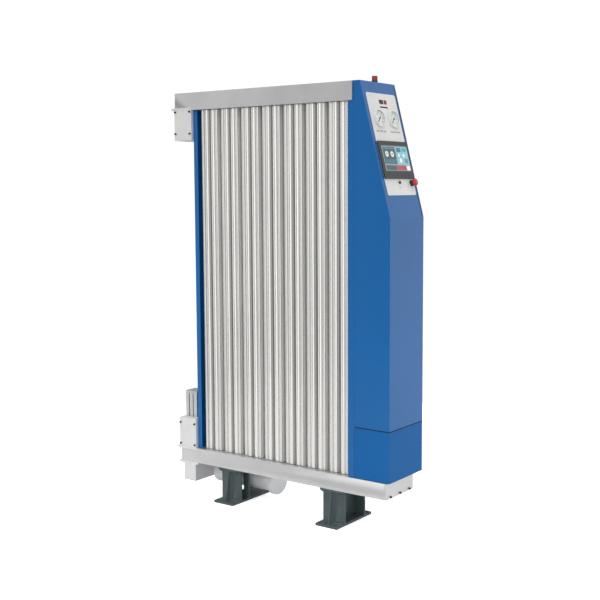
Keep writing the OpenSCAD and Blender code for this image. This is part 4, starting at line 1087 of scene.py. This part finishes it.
@dataclass
class Feet:
    """Two welded feet with their weld beads and bolts."""

    plate: float = 12.0
    flange: float = 10.0
    front_gap: float = 31.0
    left_rear: float = 91.0
    right_rear: float = 196.0
    web_half: float = 4.0
    side_gap: float = 3.0
    bead_gap: float = 4.0
    bead_r: float = 3.2
    ripple: float = 4.0
    ripple_share: float = 0.82
    fewest_steps: int = 4
    bead_sides: int = 10

    def weld(self, shape: Shape, start: Point, end: Point) -> None:
        """Add a rippled weld bead.

        Args:
            shape: The foot's bead mesh.
            start: First point of the seam.
            end: Last point of the seam.
        """
        a, b = Vector(start), Vector(end)
        count = max(self.fewest_steps, round((b - a).length / self.ripple) * 2)
        path = [a.lerp(b, k / count) for k in range(count + 1)]
        shares = (self.ripple_share, 1.0)
        shape.sweep(path, lambda k: self.bead_r * shares[k % 2], self.bead_sides)

    def foot(self, node: str, rear_flange: float) -> None:
        """Build one foot.

        Args:
            node: The CAD node.
            rear_flange: Distance of the rear flange's front face from the manifold's front.
        """
        low, high = box_mm(node)
        front = box_mm("lower_manifold")[0].y
        round_off(node, f"{node}_weldment", ENAMEL, Slot.FOOT, width=1.0, shortest=9.0)
        beads = Shape(ENAMEL)
        floor, roof = low.z + self.plate, high.z - self.plate
        x0, x1 = low.x + self.side_gap, high.x - self.side_gap
        for face in (front + self.front_gap, front + rear_flange):
            for y in (face, face + self.flange):
                for z in (floor, roof):
                    self.weld(beads, (x0, y, z), (x1, y, z))
        inner, outer = front + self.front_gap + self.flange, front + rear_flange
        middle, gap = (low.x + high.x) / 2, self.bead_gap
        for x in (middle - self.web_half, middle + self.web_half):
            for z in (floor, roof):
                self.weld(beads, (x, inner + gap, z), (x, outer - gap, z))
            for y in (inner, front + self.front_gap):
                self.weld(beads, (x, y, floor + gap), (x, y, roof - gap))
        beads.piece(f"{node}_welds", Body.FRAME, Slot.FOOT)

    def build(self) -> None:
        """Build both feet."""
        self.foot("foot_left", self.left_rear)
        self.foot("foot_right", self.right_rear)
        round_off("foot_bolts", "hex_foot_bolts", OXIDE, Slot.ZINC, width=0.6, shortest=5.0)


@dataclass
class Cabinet:
    """Sheet-steel cabinet, its hinges and what it holds.

    The rows of small blocks are measured across and up the front of the
    modules, from module_y beside their box and module_bottom under its top,
    and the labels from each pilot valve's middle and the top of its base.
    """

    corner: float = 2.6
    # Strip of painted shadow in the covers' joint: thickness, height, gap and setback.
    joint_shade_t: float = 0.5
    joint_shade_h: float = 4.0
    joint_shade_gap: float = 0.2
    joint_shade_back: float = 8.0
    rail_t: float = 7.0
    skin: float = 0.2
    module_x: float = 65.0
    module_y: float = 10.0
    module_top: float = 20.0
    module_bottom: float = 120.0
    plugs: Tabs = Tabs((6.0, 0.0), (9.0, 12.0), 6.0, 0.6, 8, (11.0, 0.0))
    plug_inset: float = 4.0
    plug_screw: float = 2.4
    window: Tabs = Tabs((14.0, 34.0), (48.0, 28.0), 1.2, 0.4)
    fault_lamp: Tabs = Tabs((72.0, 34.0), (4.0, 3.0), 1.0, 0.3)
    lamps: Tabs = Tabs((72.0, 42.0), (4.0, 3.0), 1.0, 0.3, 3, (0.0, 8.0))
    louvres: Tabs = Tabs((116.0, 20.0), (38.0, 3.0), 0.5, 0.2, 7, (0.0, 8.0))
    terminals: int = 12
    terminal_y: float = 11.0
    terminal_pitch: float = 12.0
    terminal_x: float = 40.0
    terminal_zs: tuple[float, float] = (20.0, 40.0)
    screw_r: float = 3.0
    screw_t: float = 0.8
    base_h: float = 40.0
    pilots: int = 4
    pilot_y: float = 17.0
    pilot_pitch: float = 31.0
    pilot_sink: float = 2.0
    override_z: float = 10.0
    override_t: float = 1.4
    label: Tabs = Tabs((-8.0, 22.0), (16.0, 18.0), 0.6, 0.3)
    tube_r: float = 4.0
    tube_play: float = 0.2
    tube_pitch: float = 10.0
    fitting_r: float = 7.5
    fitting_len: float = 13.0
    fitting_ease: float = 1.0
    fitting_drop: float = 6.0
    collar_h: float = 8.0
    ring_step: float = 1.5
    round_steps: int = 24

    def sheets(self) -> None:
        """Build the folded frame and covers."""
        for node, body, finish in (("cabinet_frame", Body.FRAME, POWDER),
                                   ("lower_cover", Body.FRAME, MATT_POWDER),
                                   ("upper_cover", Body.COVER, POWDER)):
            round_off(node, f"{node}_folded", finish, Slot.BLUE,
                      width=self.corner, shortest=30.0, body=body)
        round_off("cover_hinges", "barrel_hinges", ZINC, Slot.ZINC, width=0.4, shortest=10.0)

    def joint_shade(self) -> None:
        """Build a dark strip along the top edge of the lower cover: painted shadow of the joint."""
        low, high = box_mm("lower_cover")
        joint = box_mm("upper_cover")[0].z
        x0, x1, y0, y1 = low.x + self.joint_shade_back, high.x, low.y, high.y
        t = self.joint_shade_t
        outline = [(x0, y0 - t), (x1 + t, y0 - t), (x1 + t, y1 + t), (x0, y1 + t),
                   (x0, y1), (x1, y1), (x1, y0), (x0, y0)]
        at = Matrix.Translation((0, 0, joint - self.joint_shade_h - self.joint_shade_gap))
        Shape(JOINT_SHADE).prism([Vector(p) for p in outline], self.joint_shade_h, at).piece(
            "painted_cover_joint_shadow", Body.FRAME, Slot.BLACK)

    def electrics(self) -> None:
        """Build the plate, the rails' modules and their small parts."""
        round_off("mounting_plate", "mounting_plate_sheet", ZINC, Slot.ZINC, width=0.5, shortest=10.0)
        low, high = box_mm("controller")
        face = low.x + self.rail_t
        modules = eased("controller", GREY_PA, width=0.8, shortest=6.0).mark(
            ZINC, lambda each: each.calc_center_median().x < face - self.skin)
        modules.piece("rail_modules", Body.FRAME, Slot.GREY, "controller")
        parts = Shape(GREEN_PA, DARK_GLASS, ZINC, RED_PA, BLACK_ABS)
        y0, front = low.y + self.module_y, face + self.module_x
        bottom, top = high.z - self.module_bottom, high.z - self.module_top
        plugs = self.plugs
        for z in (bottom + self.plug_inset, top - self.plug_inset - plugs.size[1]):
            parts.use(GREEN_PA).tabs(plugs, front, y0, z)
            parts.use(ZINC)
            for k in range(plugs.count):
                y = y0 + plugs.place[0] + plugs.size[0] / 2 + k * plugs.step[0]
                place = (front + plugs.height, y, z + plugs.size[1] / 2)
                parts.stud(place, self.plug_screw, self.screw_t)
        parts.use(DARK_GLASS).tabs(self.window, front, y0, bottom)
        parts.use(RED_PA).tabs(self.fault_lamp, front, y0, bottom)
        parts.use(GREEN_PA).tabs(self.lamps, front, y0, bottom)
        parts.use(BLACK_ABS).tabs(self.louvres, high.x, y0, bottom)
        parts.use(ZINC)
        for k in range(self.terminals):
            for z in self.terminal_zs:
                parts.stud((face + self.terminal_x, y0 + self.terminal_y + k * self.terminal_pitch,
                            low.z + z), self.screw_r, self.screw_t)
        parts.piece("terminals_and_lamps", Body.FRAME, Slot.GREY)

    def pneumatics(self) -> None:
        """Build the pilot valves, their overrides and the tube fittings."""
        low, high = box_mm("pilot_valves")
        base = low.z + self.base_h
        valves = eased("pilot_valves", BLACK_ABS, width=0.8, shortest=6.0).mark(
            CAST, lambda each: each.calc_center_median().z < base + self.skin)
        valves.piece("pilot_valve_bank", Body.FRAME, Slot.BLACK, "pilot_valves")
        parts = Shape(RED_PA, GREY_PA)
        face = high.x - self.pilot_sink
        for k in range(self.pilots):
            y = low.y + self.pilot_y + k * self.pilot_pitch
            parts.use(RED_PA).stud((face, y, base + self.override_z), self.screw_r, self.override_t,
                                   self.round_steps)
            parts.use(GREY_PA).tabs(self.label, face, y, base)
        parts.piece("valve_overrides", Body.FRAME, Slot.BLACK)
        cap_low, cap_high = box_mm("actuator_caps")
        tube_high = box_mm("pilot_tubes")[1]
        level = cap_high.z - self.fitting_drop
        aside = (cap_high.x - cap_low.x) / 2
        bore, skirt, ease = self.tube_r + self.tube_play, self.fitting_r, self.fitting_ease
        nose = [(bore, 0), (skirt - ease, 0), (skirt, ease), (skirt, self.collar_h - ease),
                (skirt - ease, self.collar_h), (skirt - self.ring_step, self.fitting_len - ease),
                (bore, self.fitting_len), (bore, 0)]
        x_in, y_in = tube_high.x - self.tube_r, tube_high.y - self.tube_r
        fittings = Shape(BLACK_ABS)
        for place, normal, across in (
                ((cap_low.x + aside, cap_high.y, level), (0, 1, 0), (0, 0, 1)),
                ((cap_high.x, cap_low.y + aside, level), (1, 0, 0), (0, 0, 1)),
                ((x_in, y_in, low.z), (0, 0, -1), (1, 0, 0)),
                ((x_in, y_in - self.tube_pitch, low.z), (0, 0, -1), (1, 0, 0))):
            fittings.lathe(nose, facing(place, normal, across), self.round_steps)
        fittings.piece("push_in_fittings", Body.FRAME, Slot.BLACK)
        dress(TUBE, "pilot_tubes")
        dress(BLACK_ABS, "cable_gland")

    def build(self) -> None:
        """Build the cabinet."""
        self.sheets()
        self.joint_shade()
        self.electrics()
        self.pneumatics()


@dataclass
class Console:
    """Operator panel on the sloping face: gauges, screen and buttons.

    Names that end in u, s and h are measured across the slope from the
    cabinet's middle, up the slope from its lower edge, and out of it. Those
    that end in w, t and r are widths, thicknesses and radii.
    """

    run: float = 157.0
    knee_z: float = 1419.0
    panel_t: float = 2.0
    lift: float = 0.02
    ink: float = 0.15
    captions: tuple[Mark, ...] = (
        Mark(-30.0, 391.0, 26.0, 7.5, 1.5), Mark(-1.0, 391.0, 24.0, 7.5, 1.5),
        Mark(26.0, 391.0, 22.0, 7.5, 1.5))
    button_word: Mark = Mark(-6.0, 137.0, 12.0, 4.0, 1.0)
    emblem: Mark = Mark(-10.0, 527.0, 34.0, 20.0, 3.0)
    emblem_bar: Mark = Mark(4.0, 503.0, 66.0, 7.0, 2.0)
    emblem_end: Mark = Mark(24.0, 527.0, 24.0, 20.0, 3.0)
    # Strip of painted shadow along the slope's rear seam.
    slope_shade_u: float = 137.5
    slope_shade_w: float = 7.0
    slope_shade_t: float = 1.4
    slope_shade_edge: float = 0.6
    slope_shade_steps: int = 3
    screen_t: float = 6.0
    glass_w: float = 221.0
    glass_h: float = 119.0
    glass_u: float = 6.0
    glass_s: float = 268.0
    glass_t: float = 2.4
    glass_sink: float = 2.9
    glass_corner: float = 1.8
    area_corner: float = 1.2
    spot_sides: int = 24
    gauge_us: tuple[float, float] = (-58.0, 60.0)
    gauge_s: float = 450.0
    dial_r: float = 35.6
    dial_t: float = 0.5
    dial_h: float = 5.05
    dial_sides: int = 64
    first_mark: float = 225.0
    last_mark: float = -45.0
    numerals: int = 6
    numeral_step: int = 2
    numeral_in: float = 14.5
    numeral_h: float = 5.0
    numeral_stroke: float = 0.8
    digit_share: float = 0.55
    digit_pitch: float = 1.6
    ticks_each: int = 5
    tick_in: float = 3.0
    major_tick: tuple[float, float] = (6.0, 1.0)
    minor_tick: tuple[float, float] = (3.5, 0.5)
    red_from: float = 0.84

    def __post_init__(self) -> None:
        """Work out the slope from the cabinet's own box."""
        high = box_mm("upper_cover")[1]
        frame_low, frame_high = box_mm("cabinet_frame")
        self.mid_y = (frame_low.y + frame_high.y) / 2
        self.rise = high.z - self.knee_z
        self.front_x = high.x

    def at(self, u: float, s: float, h: float = 0.0) -> Matrix:
        """Work plane on the slope.

        Args:
            u: Across, from the cabinet's middle.
            s: Up the slope, from its lower edge.
            h: Out of the slope.

        Returns:
            The matrix from the work plane to the frame.
        """
        tilt = math.atan2(self.run, self.rise)
        up = Vector((-math.sin(tilt), 0, math.cos(tilt)))
        out = Vector((math.cos(tilt), 0, math.sin(tilt)))
        across = Vector((0, 1, 0))
        origin = Vector((self.front_x, self.mid_y, self.knee_z))
        return facing(origin + across * u + up * s + out * h, out, across)

    def stamp(self, shape: Shape, finish: Finish, mark: Mark, shift: float = 0.0) -> None:
        """Print a bar on the foil.

        Args:
            shape: The mesh that gets it.
            finish: The ink.
            mark: The bar.
            shift: How far it is moved across the slope.
        """
        place = self.at(mark.u + shift, mark.s, self.panel_t + self.lift)
        shape.use(finish).prism(rounded(mark.width, mark.height, mark.corner), self.ink, place)

    def panel(self) -> None:
        """Build the printed panel foil."""
        round_off("control_panel", "operator_panel", FOIL, Slot.FOIL,
                  width=0.5, shortest=5.0, body=Body.COVER)
        marks = Shape(PRINT, DARK_PRINT, RED_PRINT)
        for u in self.gauge_us:
            for caption in self.captions:
                self.stamp(marks, PRINT, caption, u)
        self.stamp(marks, PRINT, self.button_word)
        self.stamp(marks, DARK_PRINT, self.emblem)
        self.stamp(marks, DARK_PRINT, self.emblem_bar)
        self.stamp(marks, RED_PRINT, self.emblem_end)
        marks.piece("printed_marks", Body.COVER, Slot.FOIL)

    def slope_shade(self) -> None:
        """Build a dark strip along the slope's rear edge: painted shadow of the seam."""
        length = math.hypot(self.run, self.rise) - 2 * self.slope_shade_w
        low = (-length / 2, -self.slope_shade_w / 2, self.lift)
        high = (length / 2, self.slope_shade_w / 2, self.slope_shade_t)
        at = self.at(self.slope_shade_u, length / 2 + self.slope_shade_w) @ Matrix.Rotation(math.pi / 2, 4, "Z")
        Shape(SLOPE_SHADE).block(low, high, self.slope_shade_edge, self.slope_shade_steps, at).piece(
            "painted_slope_shadow_strip", Body.COVER, Slot.BLACK)

    def screen(self) -> None:
        """Build the display with its lit areas."""
        round_off("screen_housing", "display_housing", BLACK_ABS, Slot.BLACK,
                  width=1.6, shortest=5.0, body=Body.COVER)
        view = Shape(DARK_GLASS, LIT_NIGHT, LIT_DEEP, LIT_TEAL, LIT_AQUA, LIT_WHITE, LIT_RED,
                     LIT_SLATE, LIT_GREY)
        base = self.panel_t + self.screen_t - self.glass_sink
        view.prism(rounded(self.glass_w, self.glass_h, self.glass_corner), self.glass_t,
                   self.at(self.glass_u, self.glass_s, base))
        face = base + self.glass_t
        left, low = self.glass_u - self.glass_w / 2, self.glass_s - self.glass_h / 2

        def area(finish: Finish, x: float, y: float, w: float, h: float, layer: int) -> None:
            """Lay a lit area, its place in shares of the glass."""
            place = self.at(left + (x + w / 2) * self.glass_w, low + (y + h / 2) * self.glass_h,
                            face + self.ink * layer)
            view.use(finish).prism(rounded(w * self.glass_w, h * self.glass_h, self.area_corner),
                                   self.ink, place)

        def spot(finish: Finish, x: float, y: float, radius: float, layer: int) -> None:
            """Lay a round lit spot, its middle in shares of the glass."""
            place = self.at(left + x * self.glass_w, low + y * self.glass_h, face + self.ink * layer)
            view.use(finish).prism(disc(radius, sides=self.spot_sides), self.ink, place)

        area(LIT_GREY, x=0.02, y=0.03, w=0.96, h=0.94, layer=0)
        area(LIT_NIGHT, x=0.045, y=0.29, w=0.455, h=0.64, layer=1)
        area(LIT_TEAL, x=0.07, y=0.86, w=0.40, h=0.03, layer=2)
        area(LIT_DEEP, x=0.06, y=0.33, w=0.42, h=0.13, layer=2)
        for x in (0.17, 0.37):
            spot(LIT_WHITE, x=x, y=0.66, radius=13, layer=2)
            spot(LIT_GREY, x=x, y=0.66, radius=6, layer=3)
        area(LIT_AQUA, x=0.52, y=0.26, w=0.45, h=0.68, layer=1)
        area(LIT_DEEP, x=0.56, y=0.75, w=0.16, h=0.16, layer=2)
        area(LIT_TEAL, x=0.77, y=0.76, w=0.16, h=0.14, layer=2)
        spot(LIT_WHITE, x=0.62, y=0.62, radius=8, layer=2)
        spot(LIT_WHITE, x=0.80, y=0.62, radius=8, layer=2)
        spot(LIT_WHITE, x=0.66, y=0.42, radius=11, layer=2)
        area(LIT_SLATE, x=0.80, y=0.32, w=0.13, h=0.18, layer=2)
        area(LIT_NIGHT, x=0.045, y=0.05, w=0.40, h=0.18, layer=1)
        area(LIT_RED, x=0.455, y=0.05, w=0.36, h=0.18, layer=1)
        area(LIT_WHITE, x=0.83, y=0.05, w=0.13, h=0.18, layer=1)
        view.piece("display_glass", Body.COVER, Slot.SCREEN, "screen_glass")

    def numeral(self, shape: Shape, text: str, place: Matrix, height: float, stroke: float) -> None:
        """Add a number drawn with straight strokes.

        Args:
            shape: The mesh that gets it.
            text: The digits.
            place: Work plane in the number's middle.
            height: Height of a digit.
            stroke: Width of a stroke.
        """
        width = height * self.digit_share
        for k, digit in enumerate(text):
            x = (k - (len(text) - 1) / 2) * width * self.digit_pitch
            for part in STROKES[digit]:
                flat = part in "adg"
                size = (width + stroke, stroke) if flat else (stroke, height / 2 + stroke)
                side = 0.0 if flat else (width / 2 if part in "bc" else -width / 2)
                at = place @ Matrix.Translation((x + side, LEVELS[part] * height / 2, 0))
                shape.prism(rounded(*size, stroke / END_SHARE), self.ink, at)

    def gauges(self) -> None:
        """Build the two pressure gauges with scales and numbers."""
        round_off("gauge_cases", "gauge_bezels", SATIN_CASE, Slot.GAUGE,
                  width=0.8, shortest=2.0, body=Body.COVER)
        dials = Shape(DIAL, DARK_PRINT, RED_PRINT)
        face = self.dial_h + self.dial_t
        ticks = self.numerals * self.ticks_each
        for u in self.gauge_us:
            middle = self.at(u, self.gauge_s, 0)
            dials.use(DIAL).prism(disc(self.dial_r, sides=self.dial_sides), self.dial_t,
                                  middle @ Matrix.Translation((0, 0, self.dial_h)))
            for k in range(ticks + 1):
                share = k / ticks
                turn = math.radians(self.first_mark + (self.last_mark - self.first_mark) * share)
                major = k % self.ticks_each == 0
                length, width = self.major_tick if major else self.minor_tick
                place = middle @ Matrix.Rotation(turn, 4, "Z") @ Matrix.Translation(
                    (self.dial_r - self.tick_in - length / 2, 0, face))
                dials.use(RED_PRINT if share > self.red_from else DARK_PRINT)
                dials.prism(rounded(length, width, width / END_SHARE), self.ink, place)
                if major:
                    spot = Vector((math.cos(turn), math.sin(turn))) * (self.dial_r - self.numeral_in)
                    dials.use(DARK_PRINT)
                    self.numeral(dials, str(self.numeral_step * k // self.ticks_each),
                                 middle @ Matrix.Translation((spot.x, spot.y, face)),
                                 self.numeral_h, self.numeral_stroke)
        dials.piece("gauge_dials", Body.COVER, Slot.GAUGE)
        dress(CLEAR_GLASS, "gauge_lenses")
        dress(BLACK_ABS, "gauge_pointer_inlet", "gauge_pointer_outlet")

    def build(self) -> None:
        """Build the operator panel."""
        self.panel()
        self.slope_shade()
        self.screen()
        self.gauges()
        dress(BLACK_ABS, "start_button", "estop_base", "beacon_base")
        dress(RED_PA, "estop_head")
        dress(RED_PC, "beacon_lens")


# ---------- stage ----------


@dataclass(frozen=True)
class Glow:
    """A soft patch of light in the surroundings.

    The bearing is counted in degrees from the front, -Y, towards +X, and the
    height in degrees over the horizon.
    """

    bearing: float
    height: float
    inner: float
    outer: float
    strength: float

    def add(self, tree: bpy.types.NodeTree, direction: bpy.types.NodeSocket, total: Any) -> Any:
        """Add the glow to the strength so far.

        Args:
            tree: The world's node tree.
            direction: The socket of the looking direction.
            total: The strength so far, a number or a socket.

        Returns:
            The socket of the new sum.
        """
        bearing, height = math.radians(self.bearing), math.radians(self.height)
        level = math.cos(height)
        axis = (math.sin(bearing) * level, -math.cos(bearing) * level, math.sin(height))
        near = add_node(tree, "ShaderNodeVectorMath", {0: direction, 1: axis}, operation="DOT_PRODUCT")
        share = add_node(tree, "ShaderNodeMapRange", {
            "Value": near.outputs["Value"], "From Min": math.cos(math.radians(self.outer)),
            "From Max": math.cos(math.radians(self.inner)), "To Max": self.strength},
            interpolation_type="SMOOTHSTEP")
        both = add_node(tree, "ShaderNodeMath", {0: share.outputs[0], 1: total}, operation="ADD")
        return both.outputs[0]


@dataclass
class Studio:
    """Camera, soft surrounding light and a pale floor."""

    eye: tuple[float, float, float] = (2986.3, -3961.8, 1556.5)
    yaw: float = 35.81
    dip: float = 5.82
    roll: float = -0.25
    lens: float = 62.4
    shift: tuple[float, float] = (-0.0212, -0.0119)
    clip_end: float = 200.0
    floor_r: float = 2.6
    floor_sides: int = 96
    floor_roughness: float = 0.9
    floor_gloss: float = 0.2
    floor_glow: float = 0.62
    backdrop: float = 1.05
    ambient: float = 0.19
    glows: tuple[Glow, ...] = (
        Glow(-62.0, 2.0, 10.0, 30.0, 1.1),
        Glow(30.0, 8.0, 18.0, 46.0, 1.25),
        Glow(144.0, 0.0, 22.0, 48.0, 1.1),
        Glow(0.0, 80.0, 24.0, 62.0, 1.6),
    )

    def camera(self) -> None:
        """Place the camera and make it the scene's own."""
        yaw, dip, roll = (math.radians(a) for a in (self.yaw, self.dip, self.roll))
        level = Vector((-math.sin(yaw), math.cos(yaw), 0))
        right = Vector((math.cos(yaw), math.sin(yaw), 0))
        ahead = level * math.cos(dip) - Vector((0, 0, math.sin(dip)))
        up = Vector((0, 0, math.cos(dip))) + level * math.sin(dip)
        across = right * math.cos(roll) + up * math.sin(roll)
        above = up * math.cos(roll) - right * math.sin(roll)
        data = bpy.data.cameras.new("studio_camera")
        data.lens = self.lens
        data.shift_x, data.shift_y = self.shift
        data.dof.use_dof = False
        data.clip_end = self.clip_end
        made = bpy.data.objects.new("studio_camera", data)
        turn = Matrix((across, above, -ahead)).transposed().to_4x4()
        made.matrix_world = Matrix.Translation(Vector(self.eye) * MM) @ turn
        bpy.context.scene.collection.objects.link(made)
        bpy.context.scene.camera = made

    def floor(self) -> None:
        """Lay the pale floor, lit a little from below so that it stays white."""
        outline = disc(self.floor_r, sides=self.floor_sides)
        mesh = bpy.data.meshes.new("studio_floor")
        mesh.from_pydata([(p.x, p.y, 0) for p in outline], [], [range(len(outline))])
        paint = bpy.data.materials.new("pale_floor")
        paint.use_nodes = True
        tree = paint.node_tree
        tree.nodes.clear()
        seen = add_node(tree, "ShaderNodeLightPath").outputs["Is Camera Ray"]
        glow = add_node(tree, "ShaderNodeMath", {0: seen, 1: self.floor_glow}, operation="MULTIPLY")
        matt = add_node(tree, "ShaderNodeBsdfPrincipled", {
            "Base Color": linear("#F4F4F4"), "Roughness": self.floor_roughness,
            "Specular IOR Level": self.floor_gloss,
            "Emission Color": linear("#FFFFFF"), "Emission Strength": glow.outputs[0]})
        add_node(tree, "ShaderNodeOutputMaterial", {"Surface": matt.outputs[0]})
        mesh.materials.append(paint)
        made = bpy.data.objects.new("studio_floor", mesh)
        bpy.context.scene.collection.objects.link(made)

    def world(self) -> None:
        """Surroundings with soft glows, plain white where the camera looks past the object."""
        world = bpy.data.worlds.new("studio_world")
        world.use_nodes = True
        tree = world.node_tree
        tree.nodes.clear()
        direction = add_node(tree, "ShaderNodeTexCoord").outputs["Generated"]
        total: Any = self.ambient
        for glow in self.glows:
            total = glow.add(tree, direction, total)
        seen = add_node(tree, "ShaderNodeLightPath").outputs["Is Camera Ray"]
        white = add_node(tree, "ShaderNodeBackground", {
            "Color": linear("#FFFFFF"), "Strength": self.backdrop})
        soft = add_node(tree, "ShaderNodeBackground", {"Color": linear("#FAFAF9"), "Strength": total})
        both = add_node(tree, "ShaderNodeMixShader", {0: seen, 1: soft.outputs[0], 2: white.outputs[0]})
        add_node(tree, "ShaderNodeOutputWorld", {"Surface": both.outputs[0]})
        bpy.context.scene.world = world

    def build(self) -> None:
        """Set up the studio."""
        self.camera()
        self.world()
        self.floor()
        bpy.context.scene.view_settings.view_transform = "Standard"


def corners(box: tuple[Vector, Vector]) -> list[list[float]]:
    """A box as plain lists of numbers."""
    return [list(box[0]), list(box[1])]


def main() -> None:
    """Build the dryer's looks and the studio around it."""
    logging.basicConfig(level=logging.INFO, format="%(name)s: %(message)s")
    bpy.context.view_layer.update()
    Studio().build()
    for assembly in (ColumnBank(), ManifoldBars(), ValveEnd(), Feet(), Cabinet(), Console()):
        LOG.info("building %s", type(assembly).__name__)
        assembly.build()


if __name__ == "__main__":
    main()
